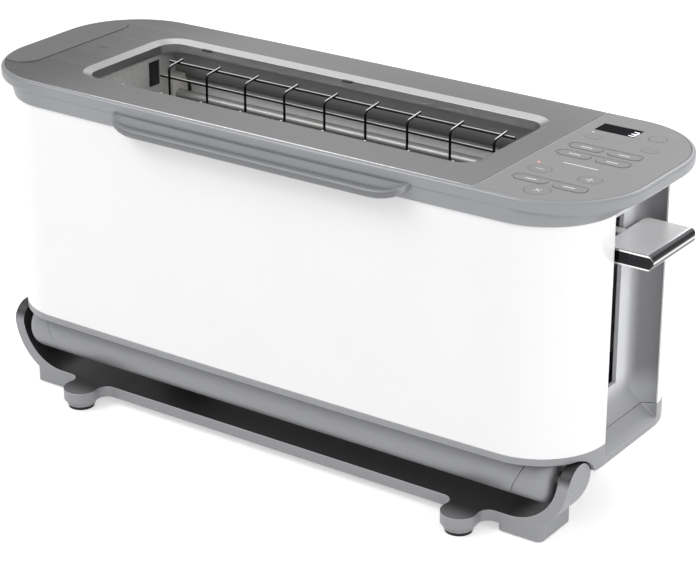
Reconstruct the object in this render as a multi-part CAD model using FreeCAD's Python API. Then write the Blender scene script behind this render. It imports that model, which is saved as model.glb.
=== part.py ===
import FreeCAD, Part

import math
import os
from collections import namedtuple

from FreeCAD import Vector

# A long-slot toaster whose body tips forward on a low cradle.
# Sizes are millimetres. While building, X is 0 at the middle of the body, Y is 0 at the
# front of the body and grows to the back, and Z is 0 on the counter. The finished pieces
# are moved at the end, so that the origin lies under the middle of the whole toaster.

# Body wrap
body_half = 215.0
body_depth = 154.0
body_corner = 45.0
side_bulge = 1.5
wrap_thickness = 1.0
panel_bottom = 57.0
panel_height = 143.0
seat_gap = 0.2

# Top trim
cap_flare = 15.0
cap_overhang = 2.5
cap_corner = 55.0
cap_height = 16.3
cap_lip_height = 8.8
cap_top_round = 2.0
cap_foot_round = 3.6
cap_rim_width = 2.5
band_flare = 6.0
band_sink = 2.0
cap_band_overhang = 1.4
cap_band_corner = 50.0
trim_wall = 2.2
trim_stand = 1.0
trim_tongue = 6.0

# Front lip, which is the pull handle and the front foot of the tipped body
lip_left = -106.0
lip_right = 110.0
lip_turn = 22.0
lip_reach = 13.2
lip_bead = 3.0
lip_bead_drop = 12.9
lip_root_depth = 3.3
lip_root_height = 5.5
lip_root_cover = 0.3
lip_end_share = 0.55
lip_hollow = 0.16
lip_steps = 6

# Deck: steel plate, divider, control panel
panel_length = 65.0
joint_rib = 1.2
plate_thickness = 1.5
panel_thickness = 2.5
deck_gap = 0.35
opening_left_inset = 55.0
opening_right_inset = 22.0
opening_half = 43.5
opening_corner = 12.0
opening_bevel = 5.5
opening_bevel_drop = 2.0
flange_depth = 7.8
flange_thickness = 1.2
skirt_lap = 0.4
grip_inset = 14.5
grip_front = 25.0
grip_rear_gap = 21.5
grip_corner = 12.0
grip_rise = 0.5
grip_round = 0.45

# Chamber
chamber_lap = 5.0
sheet = 1.0
end_plate_front = 9.0
end_plate_rear_gap = 7.0
end_plate_drop = 1.4
tab_reach = 13.0
tab_width = 10.0
tab_trim = 1.0
tab_setback = 2.0
tip_slot_start = 4.5
tip_slot_width = 11.0
tip_slot_drop = 2.5
tip_slot_height = 17.0
rack_slot_margin = 2.0
reflector_radius = 12.5
reflector_sheet = 0.8
reflector_rise = 10.5
reflector_flat = 6.3
reflector_foot_drop = 8.0
liner_lap = 8.0
tube_offset = 47.0
tube_radius = 4.0
tube_drop = 38.8
tube_spacing = 77.5
tube_fit = 0.1
holder_length = 8.0
holder_in = 6.0
holder_out = 9.0
holder_drop = 10.0
holder_rise = 13.0

# Guards
guard_offset = 21.5
guard_wire = 0.8
guard_rail_wire = 0.9
guard_count = 9
guard_left_inset = 15.8
guard_right_inset = 23.8
guard_hinge_rise = 15.0
guard_bend_drop = 10.8
guard_bend_radius = 3.0
guard_tip_reach = 14.5
guard_tip_rise = 1.6
guard_tip_rail_share = 0.75
guard_top_rail_drop = 7.5
guard_mid_rail_rise = 63.0
guard_overrun = 8.0
guard_foot = 0.4
guard_weld = 0.5
guard_pivot_reach = 2.0
guard_pivot_fit = 0.08

# Lever, carriage and bread rack
lever_travel = 88.0
lever_inset = 10.0
lever_length = 32.6
lever_width = 52.6
lever_drop = 22.0
lever_thickness = 9.5
lever_corner = 5.0
lever_nose = 4.2
lever_round = 0.6
lever_outer_corner = 1.5
neck_width = 7.0
neck_height = 9.0
slot_clearance = 1.5
slot_corner = 0.5
carriage_inset = 31.0
carriage_sheet = 3.0
carriage_drop = 28.0
carriage_height = 35.0
carriage_side = 6.0
rod_setback = 4.0
rod_spread = 15.0
rod_radius = 3.0
rod_clearance = 0.08
rod_fit = 0.02
rod_socket = 1.0
bush_wall = 2.4
rack_rise = 2.0
rack_height = 8.0
rack_rail = 3.0
rack_finger_half = 13.0
rack_finger_radius = 1.2
rack_overrun = 5.0
keeper_thickness = 3.0
keeper_half = 6.0
keeper_shift = 1.0
bracket_drop = 3.0
bracket_sheet = 2.0
bracket_flange = 12.0
bracket_lap = 1.0
spring_radius = 3.6
spring_bore = 2.2
spring_reach = 7.5
spring_shift = 11.0
lug_height = 3.0
boss_rise = 14.5
boss_wall = 3.5

# Lower shell, hubs and tray
rim_drop = 14.0
rim_wall = 2.5
band_drop = 4.4
bottom_thickness = 2.5
shell_inset = 1.0
tongue_wall = 1.6
tongue_root = 1.0
tongue_rise = 5.0
hub_radius = 16.0
hub_inset = 12.5
hub_length = 14.0
hub_round = 8.0
cheek_reach = 4.0
barrel_wall = 2.5
tray_clearance = 0.4
tray_top_gap = 1.0
tray_slant = 14.0
tray_split = -119.0
tray_crown = 123.0
web_setback = 1.5
web_height = 3.5
pan_gap = 3.5
pan_front = 18.0
pan_rear_gap = 14.0
pan_wall = 5.6
pan_sheet = 0.8
strip_back = 17.0
strip_thickness = 2.9
rib_half = 3.0
screw_radius = 1.8
screw_head = 3.2
screw_recess = 0.9
screw_wall = 2.2
screw_tip = 1.5
screw_hole_fit = 0.1
screw_head_fit = 0.2
screw_inset = 4.0
screw_corner_inset = 1.0
screw_offsets = (-17.0, 23.0)

# End cover
cover_front_reach = 29.0
cover_back_reach = 35.0
channel_depth = 13.0
channel_side = 15.0
channel_nook = 2.5
channel_roof = 2.8
cover_wall = 2.7
scoop_rise = 15.0
scoop_drop = 9.4

# Cradle
pivot_setback = 25.0
pivot_drop = 18.2
ear_radius = 13.0
ear_clearance = 1.2
cradle_inset = 3.0
cradle_wall = 7.3
cradle_arc = 32.0
floor_top = 12.9
deck_inset = 34.0
deck_rear_gap = 29.0
deck_corner = 14.0
deck_lead = 4.0
skin = 2.6
pocket_gap = 2.0
pocket_lead = 5.0
pocket_tail = 6.0
pocket_columns = 6
pocket_rows = 2
tab_inset = 66.0
tab_y = 0.5
tab_radius = 11.3
tab_fillet = 7.0
tab_root = 3.0
block_inset = 17.0
block_length = 30.0
block_back = 47.5
block_bottom = 1.0
block_corner = 4.0
foot_radius = 8.4
foot_height = 2.4
cup_radius = 9.3
rear_foot_gap = 43.0
riser_inset = 52.0
riser_length = 30.0
riser_lead = 8.0
riser_tail = 11.0
riser_corner = 3.0
bumper_height = 4.8
bumper_radius = 6.0
collar_radius = 5.0
collar_gap = 0.2
pin_root = 2.0
pin_skin = 1.5
contact_gap = 0.3
pin_radius = 4.0
pin_clearance = 0.06
pin_fit = 0.02

# Keys and display
key_travel = 0.8
key_rise = 0.1
key_gap = 0.2
key_flange = 0.8
key_flange_lap = 0.4
key_flange_gap = 0.15
key_cap = 3.9
key_round = 0.3
key_stem = 1.5
key_stem_length = 2.3
switch_radius = 2.6
switch_gap = 0.1
board_drop = 10.7
board_sheet = 1.6
board_margin = 5.0
board_rear_gap = 2.0
lamp_radius = 0.9
lamp_fit = 0.05
post_radius = 2.5
glass_thickness = 1.4
glass_depth = 0.1
glass_fit = 0.15
window_inset = 7.9
window_length = 26.5
window_shift = 45.7
window_width = 13.3
module_margin = 1.0
module_rear_gap = 4.0
row_dish = 0.3
dish_length = 2.5
dish_width = 2.0

# Mains lead bush in the rear wall
gland_inset = 65.0
gland_rise = 17.0
gland_radius = 7.0
gland_flange = 9.5
gland_stand = 2.0
gland_grip = 4.0
gland_bore = 3.6

# Power board beside the chamber
power_stand = 4.0
power_width = 50.0
power_rear_gap = 14.0
power_rise = 7.0
power_height = 86.0
spacer_radius = 3.0
spacer_inset = 5.0
transformer_front = 6.0
transformer_width = 30.0
transformer_low = 12.0
transformer_height = 28.0
transformer_depth = 17.0
relay_front = 8.0
relay_width = 16.0
relay_depth = 14.0
relay_height = 14.0
relay_lows = (48.0, 66.0)

# How far joined shapes run into each other, and how far cutting tools run past
joined = 0.2
past = 1.0

Outline = namedtuple("Outline", "half front back corner crest")
Key = namedtuple("Key", "name x y length width")

# Levels and places that follow from the sizes above
panel_top = panel_bottom + panel_height
deck_top = panel_top + cap_height
cap_half = body_half + cap_flare
cap_band_half = body_half + band_flare
cap_step = deck_top - cap_lip_height
mid_y = body_depth / 2
rim_bottom = panel_bottom - rim_drop
band_bottom = panel_bottom - band_drop
bottom_top = rim_bottom + bottom_thickness
strip_top = band_bottom + strip_thickness
plate_foot = strip_top + contact_gap
plate_under = deck_top - plate_thickness
joint_x = body_half - panel_length
opening_left = opening_left_inset - body_half
opening_right = joint_x - opening_right_inset
grip_edge = grip_inset - body_half
grip_back = body_depth - grip_rear_gap
chamber_left = opening_left - chamber_lap
chamber_right = opening_right + chamber_lap
end_plate_back = body_depth - end_plate_rear_gap
end_plate_top = plate_under - end_plate_drop
tube_upper = deck_top - tube_drop
tube_lower = tube_upper - tube_spacing
holder_left = chamber_left + holder_length
holder_right = chamber_right - holder_length
guard_first = opening_left + guard_left_inset
guard_last = opening_right - guard_right_inset
guard_pitch = (guard_last - guard_first) / (guard_count - 1)
guard_hinge = panel_bottom + guard_hinge_rise
guard_bend = deck_top - guard_bend_drop
channel_x = body_half - channel_depth
cover_front = mid_y - cover_front_reach
cover_back = mid_y + cover_back_reach
lever_inner = body_half - lever_inset
lever_outer = lever_inner + lever_length
lever_top = panel_top - lever_drop
lever_bottom = lever_top - lever_thickness
neck_bottom = lever_bottom + (lever_thickness - neck_height) / 2
plate_x = body_half - carriage_inset
plate_outer = plate_x + carriage_sheet
carriage_bottom = lever_top - carriage_drop
lug_top = carriage_bottom + lug_height
keeper_bottom = carriage_bottom - keeper_thickness
rack_left = chamber_left - rack_overrun
rack_bottom = carriage_bottom + rack_rise
rod_x = plate_x - rod_setback
rod_ys = (mid_y - rod_spread, mid_y + rod_spread)
rod_foot = bottom_top + rod_socket
boss_top = bottom_top + boss_rise
bracket_level = panel_top - bracket_drop
spring_x = plate_x + spring_reach
spring_y = mid_y + spring_shift
pivot_height = panel_bottom - pivot_drop
cradle_half = body_half - cradle_inset
cradle_front = pivot_setback - ear_radius
floor_bottom = floor_top - cradle_wall
arc_x = cradle_half - cradle_wall - cradle_arc
arc_z = floor_top + cradle_arc
deck_half = cradle_half - deck_inset
deck_back = body_depth - deck_rear_gap
tab_x = cradle_half - tab_inset
block_outer = cradle_half - block_inset
block_inner = block_outer - block_length
rear_foot_y = body_depth - rear_foot_gap
riser_outer = cradle_half - riser_inset
riser_inner = riser_outer - riser_length
riser_top = rim_bottom - contact_gap - bumper_height
hub_outer = cradle_half - hub_inset
hub_inner = hub_outer - hub_length
pin_inner = hub_inner + pin_root
tray_top_half = hub_inner - tray_top_gap
tray_low_half = tray_top_half - tray_slant
pan_half = tray_low_half - pan_gap
pan_back = body_depth - pan_rear_gap
scoop_start = panel_bottom + scoop_rise
scoop_end = panel_bottom - scoop_drop
board_top = deck_top - board_drop
board_bottom = board_top - board_sheet
window_left = joint_x + window_inset
window_right = window_left + window_length
window_front = mid_y + window_shift
window_back = window_front + window_width
gland_x = body_half - gland_inset
gland_z = panel_bottom + gland_rise
power_back = body_depth - power_rear_gap
power_front = power_back - power_width
power_bottom = panel_bottom + power_rise


def on_panel(right, share):
    """Place on the control panel, from the joint and as a share of half the depth."""
    return joint_x + right, mid_y + share * mid_y


def key_at(name, right, share, length, width):
    """Key whose place follows the panel."""
    x, y = on_panel(right, share)
    return Key(name, x, y, length, width)


keys = [
    key_at("row1_left_key", 20.0, 0.2013, 21.0, 8.5),
    key_at("row1_right_key", 45.0, 0.2013, 21.0, 8.5),
    key_at("row2_left_key", 20.0, 0.0195, 21.0, 8.5),
    key_at("row2_right_key", 45.0, 0.0195, 21.0, 8.5),
    key_at("row3_left_key", 20.0, -0.6104, 21.0, 8.5),
    key_at("row3_right_key", 45.0, -0.6104, 21.0, 8.5),
    key_at("minus_key", 16.1, -0.3948, 14.0, 11.0),
    key_at("plus_key", 48.4, -0.3948, 14.0, 11.0),
    key_at("cancel_key", 32.2, -0.7831, 15.0, 15.0),
    key_at("power_key", 47.2, 0.6662, 11.0, 11.0),
    key_at("unit_key", 14.4, 0.4377, 10.0, 6.5),
    key_at("start_key", 52.8, 0.3961, 10.0, 6.5),
]
key_rows = [keys[0:2], keys[2:4], keys[4:6]]
lamp_places = [on_panel(9.8, -0.2701), on_panel(9.8, 0.5390)]
post_places = [on_panel(32.0, -0.1883), on_panel(7.0, -0.7922), on_panel(56.0, -0.1883),
               on_panel(56.0, 0.5325)]

# Screws rise through the bottom into tabs of the two end plates
screw_outer = chamber_left - tab_reach + screw_inset
screw_rear = end_plate_back - screw_corner_inset
screw_places = [(screw_outer, mid_y + screw_offsets[0]),
                (screw_outer, mid_y + screw_offsets[1]),
                (chamber_right + tab_reach - tab_width / 2, screw_rear),
                (chamber_left + tab_reach - tab_width / 2 - tab_trim, screw_rear)]


def crest_radius(half, corner):
    """Radius of the long sides, which stand out by side_bulge at their middle."""
    flat = half - corner
    return (flat * flat + side_bulge * side_bulge) / (2 * side_bulge)


def outline(half, front, back, corner):
    """Plan of a body with round corners and slightly bowed long sides."""
    return Outline(half, front, back, corner, crest_radius(half, corner))


def grown(plan, by):
    """The same plan, larger all round by one distance."""
    return Outline(plan.half + by, plan.front - by, plan.back + by,
                   plan.corner + by, plan.crest + by)


def outline_wire(plan, z):
    """Closed wire of a plan at one height."""
    cx = plan.half - plan.corner
    fall = plan.crest - math.sqrt((plan.crest - plan.corner) ** 2 - cx * cx)
    fy = plan.front + fall
    by = plan.back - fall
    reach = plan.corner / (plan.crest - plan.corner)
    tx = cx * (1 + reach)
    front_ty = fy - (plan.crest - fall) * reach
    back_ty = by + (plan.crest - fall) * reach
    lean = math.atan2(fy - front_ty, tx - cx) / 2
    mx = cx + plan.corner * math.cos(lean)
    front_my = fy - plan.corner * math.sin(lean)
    back_my = by + plan.corner * math.sin(lean)
    at = lambda x, y: Vector(x, y, z)
    edges = [
        Part.Arc(at(-tx, front_ty), at(0, plan.front), at(tx, front_ty)),
        Part.Arc(at(tx, front_ty), at(mx, front_my), at(plan.half, fy)),
        Part.LineSegment(at(plan.half, fy), at(plan.half, by)),
        Part.Arc(at(plan.half, by), at(mx, back_my), at(tx, back_ty)),
        Part.Arc(at(tx, back_ty), at(0, plan.back), at(-tx, back_ty)),
        Part.Arc(at(-tx, back_ty), at(-mx, back_my), at(-plan.half, by)),
        Part.LineSegment(at(-plan.half, by), at(-plan.half, fy)),
        Part.Arc(at(-plan.half, fy), at(-mx, front_my), at(-tx, front_ty)),
    ]
    return Part.Wire([edge.toShape() for edge in edges])


def slab(plan, z0, z1):
    """Solid of a plan between two heights."""
    face = Part.Face(outline_wire(plan, z0))
    return face.extrude(Vector(0, 0, z1 - z0))


def ring(outer, inner, z0, z1):
    """Wall between two plans."""
    return slab(outer, z0, z1).cut(slab(inner, z0, z1))


def box(x0, x1, y0, y1, z0, z1):
    """Box between two corners."""
    return Part.makeBox(x1 - x0, y1 - y0, z1 - z0, Vector(x0, y0, z0))


def bar_x(x0, x1, y, z, radius):
    """Round bar along X."""
    return Part.makeCylinder(radius, x1 - x0, Vector(x0, y, z), Vector(1, 0, 0))


def bar_y(x, y0, y1, z, radius):
    """Round bar along Y."""
    return Part.makeCylinder(radius, y1 - y0, Vector(x, y0, z), Vector(0, 1, 0))


def bar_z(x, y, z0, z1, radius):
    """Round bar along Z."""
    return Part.makeCylinder(radius, z1 - z0, Vector(x, y, z0), Vector(0, 0, 1))


def join(pieces):
    """One solid from several that touch or overlap."""
    solid = pieces[0].fuse(pieces[1:])
    return solid.removeSplitter()


def cut_all(solid, tools):
    """The solid less each of the tools."""
    return solid.cut(tools)


def group(pieces):
    """Alike pieces kept apart in one node."""
    return Part.makeCompound(pieces)


def both_sides(piece):
    """A piece and its mirror image on the other end of the toaster."""
    return [piece, piece.mirror(Vector(0, 0, 0), Vector(1, 0, 0))]


def level_edges(solid, z):
    """Edges that lie wholly at one height."""
    flat = 1e-4
    return [edge for edge in solid.Edges
            if abs(edge.BoundBox.ZMin - z) < flat and abs(edge.BoundBox.ZMax - z) < flat]


def rounded_rectangle(x0, x1, y0, y1, corner, z):
    """Wire of a rectangle with round corners."""
    k = corner * (1 - math.sqrt(0.5))
    at = lambda x, y: Vector(x, y, z)
    edges = [
        Part.LineSegment(at(x0 + corner, y0), at(x1 - corner, y0)),
        Part.Arc(at(x1 - corner, y0), at(x1 - k, y0 + k), at(x1, y0 + corner)),
        Part.LineSegment(at(x1, y0 + corner), at(x1, y1 - corner)),
        Part.Arc(at(x1, y1 - corner), at(x1 - k, y1 - k), at(x1 - corner, y1)),
        Part.LineSegment(at(x1 - corner, y1), at(x0 + corner, y1)),
        Part.Arc(at(x0 + corner, y1), at(x0 + k, y1 - k), at(x0, y1 - corner)),
        Part.LineSegment(at(x0, y1 - corner), at(x0, y0 + corner)),
        Part.Arc(at(x0, y0 + corner), at(x0 + k, y0 + k), at(x0 + corner, y0)),
    ]
    return Part.Wire([edge.toShape() for edge in edges])


def rounded_block(x0, x1, y0, y1, corner, z0, z1):
    """Block with round upright corners."""
    face = Part.Face(rounded_rectangle(x0, x1, y0, y1, corner, z0))
    return face.extrude(Vector(0, 0, z1 - z0))


def pill(x, y, length, width, z0, z1):
    """Upright block with half-round ends, or a disc where length equals width."""
    if length - width < 1e-6:
        return bar_z(x, y, z0, z1, width / 2)
    radius = width / 2
    reach = length / 2 - radius
    at = lambda dx, dy: Vector(x + dx, y + dy, z0)
    edges = [
        Part.LineSegment(at(-reach, -radius), at(reach, -radius)),
        Part.Arc(at(reach, -radius), at(reach + radius, 0), at(reach, radius)),
        Part.LineSegment(at(reach, radius), at(-reach, radius)),
        Part.Arc(at(-reach, radius), at(-reach - radius, 0), at(-reach, -radius)),
    ]
    face = Part.Face(Part.Wire([edge.toShape() for edge in edges]))
    return face.extrude(Vector(0, 0, z1 - z0))


def side_profile(edges, x0, x1):
    """Solid of a closed profile in the YZ plane, carried along X from x0 to x1."""
    wire = Part.Wire([edge.toShape() for edge in edges])
    face = Part.Face(wire)
    face.translate(Vector(x0, 0, 0))
    return face.extrude(Vector(x1 - x0, 0, 0))


def front_profile(edges, y0, y1):
    """Solid of a closed profile in the XZ plane, carried along Y from y0 to y1."""
    wire = Part.Wire([edge.toShape() for edge in edges])
    face = Part.Face(wire)
    face.translate(Vector(0, y0, 0))
    return face.extrude(Vector(0, y1 - y0, 0))


def yz(y, z):
    """Point of a side profile."""
    return Vector(0, y, z)


def xz(x, z):
    """Point of a front profile."""
    return Vector(x, 0, z)


def around_pivot(radius, degrees):
    """Point of a side profile on a circle about the flip axis."""
    turn = math.radians(degrees)
    return yz(pivot_setback + radius * math.cos(turn), pivot_height + radius * math.sin(turn))


body_plan = outline(body_half, 0.0, body_depth, body_corner)
cap_plan = outline(cap_half, -cap_overhang, body_depth + cap_overhang, cap_corner)
deck_plan = grown(cap_plan, -cap_rim_width)
band_plan = outline(cap_band_half, -cap_band_overhang, body_depth + cap_band_overhang,
                    cap_band_corner)


def make_wraps():
    """Painted sheet round the body, in a front and a rear half, open at the right end."""
    top = panel_top - seat_gap
    sheet_ring = ring(body_plan, grown(body_plan, -wrap_thickness), panel_bottom, top)
    reach = 2 * body_half
    end_gap = box(body_half - 2 * channel_depth, reach, cover_front, cover_back,
                  panel_bottom, top)
    sheet_ring = sheet_ring.cut(end_gap)
    half_gap = seat_gap / 2
    front = sheet_ring.common(box(-reach, reach, -reach, mid_y - half_gap, 0, top))
    rear = sheet_ring.common(box(-reach, reach, mid_y + half_gap, reach, 0, top))
    gland_hole = bar_y(gland_x, body_depth - body_corner, reach, gland_z,
                       gland_radius + seat_gap)
    return front, rear.cut(gland_hole)


def make_gland():
    """Rubber bush where the mains lead enters the rear wall."""
    wall_y = body_depth - wall_fall(gland_x)
    inside = wall_y - wrap_thickness
    body = bar_y(gland_x, inside - gland_grip, wall_y + gland_stand, gland_z, gland_radius)
    outer_flange = bar_y(gland_x, wall_y + seat_gap, wall_y + gland_stand, gland_z,
                         gland_flange)
    inner_flange = bar_y(gland_x, inside - gland_grip, inside - 2 * seat_gap, gland_z,
                         gland_flange)
    bush = join([body, outer_flange, inner_flange])
    return bush.cut(bar_y(gland_x, 0, 2 * body_depth, gland_z, gland_bore))


def wall_fall(x):
    """How far the bowed rear wall has come forward at a distance from the middle."""
    crest = body_plan.crest
    return crest - math.sqrt(crest * crest - x * x)


def lip_section(x, share):
    """Section of the front lip: root on the trim, hollow skirt and round bead."""
    top_z = deck_top - lip_root_depth
    hidden_y = -lip_root_cover
    hidden_z = top_z - lip_root_depth
    bead_y = hidden_y - (lip_reach - lip_bead + hidden_y) * share
    bead_z = hidden_z - (hidden_z - top_z + lip_bead_drop - lip_bead) * share
    bead = lip_bead * (lip_end_share + (1 - lip_end_share) * share)
    root_y = trim_wall
    root_z = top_z - lip_root_height
    bead_top = Vector(x, bead_y, bead_z + bead)
    bead_front = Vector(x, bead_y - bead * math.sqrt(0.5), bead_z - bead * math.sqrt(0.5))
    bead_low = Vector(x, bead_y + bead, bead_z)
    start = Vector(x, root_y, top_z)
    run = root_y - bead_y
    fall = top_z - bead_z - bead
    hollow = Vector(x, (root_y + bead_y) / 2 + lip_hollow * fall,
                    (top_z + bead_z + bead) / 2 - lip_hollow * run)
    root_low = Vector(x, root_y, root_z)
    edges = [
        Part.Arc(start, hollow, bead_top),
        Part.Arc(bead_top, bead_front, bead_low),
        Part.LineSegment(bead_low, root_low),
        Part.LineSegment(root_low, start),
    ]
    return Part.Wire([edge.toShape() for edge in edges])


def end_space(top):
    """Space of the right end cover, which tongues leave free."""
    margin = cover_wall + joined
    return box(channel_x - 2 * cover_wall, 2 * body_half, cover_front - margin,
               cover_back + margin, 0, top)


def make_lip():
    """Flared lip on the front of the trim, whose bead curves in at both ends."""
    sections = []
    for step in range(lip_steps + 1):
        turn = math.radians(90.0 * step / lip_steps)
        sections.append(lip_section(lip_left + lip_turn * (1 - math.cos(turn)),
                                    math.sin(turn)))
    for step in range(lip_steps, -1, -1):
        turn = math.radians(90.0 * step / lip_steps)
        sections.append(lip_section(lip_right - lip_turn * (1 - math.cos(turn)),
                                    math.sin(turn)))
    return Part.makeLoft(sections, True, True)


def make_trim():
    """Cap ring with round lip, sloping band, tongue into the wrap, divider and front lip."""
    lip = slab(cap_plan, cap_step, deck_top)
    lip = lip.makeFillet(cap_top_round, level_edges(lip, deck_top))
    lip = lip.makeFillet(cap_foot_round, level_edges(lip, cap_step))
    band_wires = [outline_wire(grown(body_plan, trim_stand), panel_top),
                  outline_wire(band_plan, cap_step + band_sink)]
    band = Part.makeLoft(band_wires, True, True)
    tongue = slab(grown(body_plan, -wrap_thickness - seat_gap), panel_top - trim_tongue,
                  panel_top + past)
    tongue = tongue.cut(end_space(panel_top))
    trim = join([lip, band, tongue])
    inner = slab(grown(body_plan, -wrap_thickness - seat_gap - trim_wall),
                 panel_top - trim_tongue, deck_top)
    reach = 2 * body_half
    rib_left = joint_x - joint_rib / 2
    rib_right = joint_x + joint_rib / 2
    plate_pocket = slab(deck_plan, plate_under, deck_top + past)
    plate_pocket = plate_pocket.common(box(-reach, rib_left, -reach, reach, 0, reach))
    panel_pocket = slab(deck_plan, deck_top - panel_thickness, deck_top + past)
    panel_pocket = panel_pocket.common(box(rib_right, reach, -reach, reach, 0, reach))
    trim = cut_all(trim, [inner, plate_pocket, panel_pocket])
    rib = slab(deck_plan, cap_step, deck_top - seat_gap)
    rib = rib.common(box(rib_left, rib_right, -reach, reach, 0, reach))
    return join([join([trim, rib]), make_lip()])


def grip_region(margin, z0, z1):
    """Space of the left grip, with a margin round it."""
    plan = grown(deck_plan, margin - deck_gap)
    whole = slab(plan, z0, z1)
    region = rounded_block(-2 * cap_half, grip_edge + margin, grip_front - margin,
                           grip_back + margin, grip_corner + margin, z0, z1)
    return whole.common(region)


def make_grip():
    """Grey grip band at the left end, standing a little above the plate."""
    top = deck_top + grip_rise
    grip = grip_region(0.0, plate_under, top)
    return grip.makeFillet(grip_round, level_edges(grip, top))


def make_top_plate():
    """Steel plate with its bevelled opening and the flange down into the chamber."""
    reach = 2 * body_half
    left = box(-reach, joint_x - joint_rib / 2 - deck_gap, -reach, reach, 0, reach)
    low = plate_under
    plate = slab(grown(deck_plan, -deck_gap), low, deck_top).common(left)
    plate = plate.cut(grip_region(deck_gap, low - past, deck_top + past))
    under = opening_bevel + flange_thickness
    skirt_wires = [opening_wire(flange_thickness, low - opening_bevel_drop - skirt_lap),
                   opening_wire(under, low + joined)]
    skirt = Part.makeLoft(skirt_wires, True, True)
    flange_bottom = deck_top - flange_depth
    flange = Part.Face(opening_wire(flange_thickness, flange_bottom))
    flange = flange.extrude(Vector(0, 0, low - opening_bevel_drop - flange_bottom))
    plate = join([plate, skirt, flange])
    slope = opening_bevel / opening_bevel_drop
    bevel_wires = [opening_wire(0.0, deck_top - opening_bevel_drop),
                   opening_wire(opening_bevel + joined * slope, deck_top + joined)]
    bevel = Part.makeLoft(bevel_wires, True, True)
    hole = Part.Face(opening_wire(0.0, flange_bottom - past))
    hole = hole.extrude(Vector(0, 0, deck_top - flange_bottom + past))
    return cut_all(plate, [bevel, hole])


def opening_wire(by, z):
    """Edge of the bread opening, larger by one distance."""
    half = opening_half + by
    return rounded_rectangle(opening_left - by, opening_right + by, mid_y - half,
                             mid_y + half, opening_corner + by, z)


def make_control_panel():
    """Grey panel with dished key rows, key holes, window hole, lamp holes and posts."""
    reach = 2 * body_half
    right = box(joint_x + joint_rib / 2 + deck_gap, reach, -reach, reach, 0, reach)
    low = deck_top - panel_thickness
    panel = slab(grown(deck_plan, -deck_gap), low, deck_top).common(right)
    tools = []
    for row in key_rows:
        middle = (row[0].x + row[1].x) / 2
        length = row[1].x - row[0].x + row[0].length + dish_length
        tools.append(pill(middle, row[0].y, length, row[0].width + dish_width,
                          deck_top - row_dish, deck_top + past))
    for key in keys:
        tools.append(pill(key.x, key.y, key.length + 2 * key_gap, key.width + 2 * key_gap,
                          low - past, deck_top + past))
    tools.append(box(window_left, window_right, window_front, window_back,
                     low - past, deck_top + past))
    for x, y in lamp_places:
        tools.append(bar_z(x, y, low - past, deck_top + past, lamp_radius + lamp_fit))
    panel = cut_all(panel, tools)
    posts = [bar_z(x, y, board_top, low + joined, post_radius) for x, y in post_places]
    return join([panel] + posts)


def make_key(key):
    """Key cap with a flange under the panel and a stem over its switch."""
    top = deck_top + key_rise
    low = top - key_cap
    cap = pill(key.x, key.y, key.length, key.width, low, top)
    cap = cap.makeFillet(key_round, level_edges(cap, top))
    flange_top = deck_top - panel_thickness - key_flange_gap
    flange = pill(key.x, key.y, key.length + 2 * key_flange, key.width + 2 * key_flange,
                  low - key_flange_lap, flange_top)
    stem = bar_z(key.x, key.y, low - key_stem_length, low, key_stem)
    return join([cap, flange, stem])


def make_key_board():
    """Circuit board under the panel, with one switch under each key stem."""
    board = slab(grown(body_plan, -board_margin), board_bottom, board_top)
    board = board.common(box(joint_x + board_margin, body_half, 0,
                             window_back - board_rear_gap, board_bottom, board_top))
    stem_end = deck_top + key_rise - key_cap - key_stem_length
    switch_top = stem_end - key_travel - switch_gap
    switches = [bar_z(key.x, key.y, board_top - joined, switch_top, switch_radius)
                for key in keys]
    return join([board] + switches)


def make_display():
    """Dark window in the panel and the display module that carries it."""
    glass_top = deck_top - glass_depth
    fit = glass_fit
    window = box(window_left + fit, window_right - fit, window_front + fit,
                 window_back - fit, glass_top - glass_thickness, glass_top)
    module = box(window_left + module_margin, window_right - module_margin,
                 window_front + module_margin, window_back - module_rear_gap, board_top,
                 glass_top - glass_thickness)
    return window, module


def make_lamps():
    """Light pipes from the key board to the panel's face."""
    return group([bar_z(x, y, board_top, deck_top - lamp_fit, lamp_radius)
                  for x, y in lamp_places])


def channel_tool():
    """The hollow of the right end: a trough with round sides that runs out at its foot."""
    out = 2 * body_half
    turn = 2 * math.atan2(channel_depth, channel_side)
    radius = channel_side / math.sin(turn)
    start = cover_back - channel_side
    mx = channel_x + radius * (1 - math.cos(turn / 2))
    my = start + radius * math.sin(turn / 2)
    k = channel_nook * (1 - math.sqrt(0.5))
    low = rim_bottom - past
    high = panel_top - channel_roof
    at = lambda x, y: Vector(x, y, low)
    edges = [
        Part.LineSegment(at(channel_x, cover_front + channel_nook), at(channel_x, start)),
        Part.Arc(at(channel_x, start), at(mx, my), at(body_half, cover_back)),
        Part.LineSegment(at(body_half, cover_back), at(out, cover_back)),
        Part.LineSegment(at(out, cover_back), at(out, cover_front)),
        Part.LineSegment(at(out, cover_front), at(channel_x + channel_nook, cover_front)),
        Part.Arc(at(channel_x + channel_nook, cover_front),
                 at(channel_x + k, cover_front + k),
                 at(channel_x, cover_front + channel_nook)),
    ]
    trough = Part.Face(Part.Wire([edge.toShape() for edge in edges]))
    trough = trough.extrude(Vector(0, 0, high - low))
    rise = scoop_start - scoop_end
    bend = 2 * math.atan2(channel_depth, rise)
    bow = rise / math.sin(bend)
    sx = channel_x + bow * (1 - math.cos(bend / 2))
    sz = scoop_start - bow * math.sin(bend / 2)
    profile = [
        Part.LineSegment(xz(channel_x, high), xz(channel_x, scoop_start)),
        Part.Arc(xz(channel_x, scoop_start), xz(sx, sz), xz(body_half, scoop_end)),
        Part.LineSegment(xz(body_half, scoop_end), xz(out, scoop_end)),
        Part.LineSegment(xz(out, scoop_end), xz(out, high)),
        Part.LineSegment(xz(out, high), xz(channel_x, high)),
    ]
    return trough.common(front_profile(profile, 0, body_depth))


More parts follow.
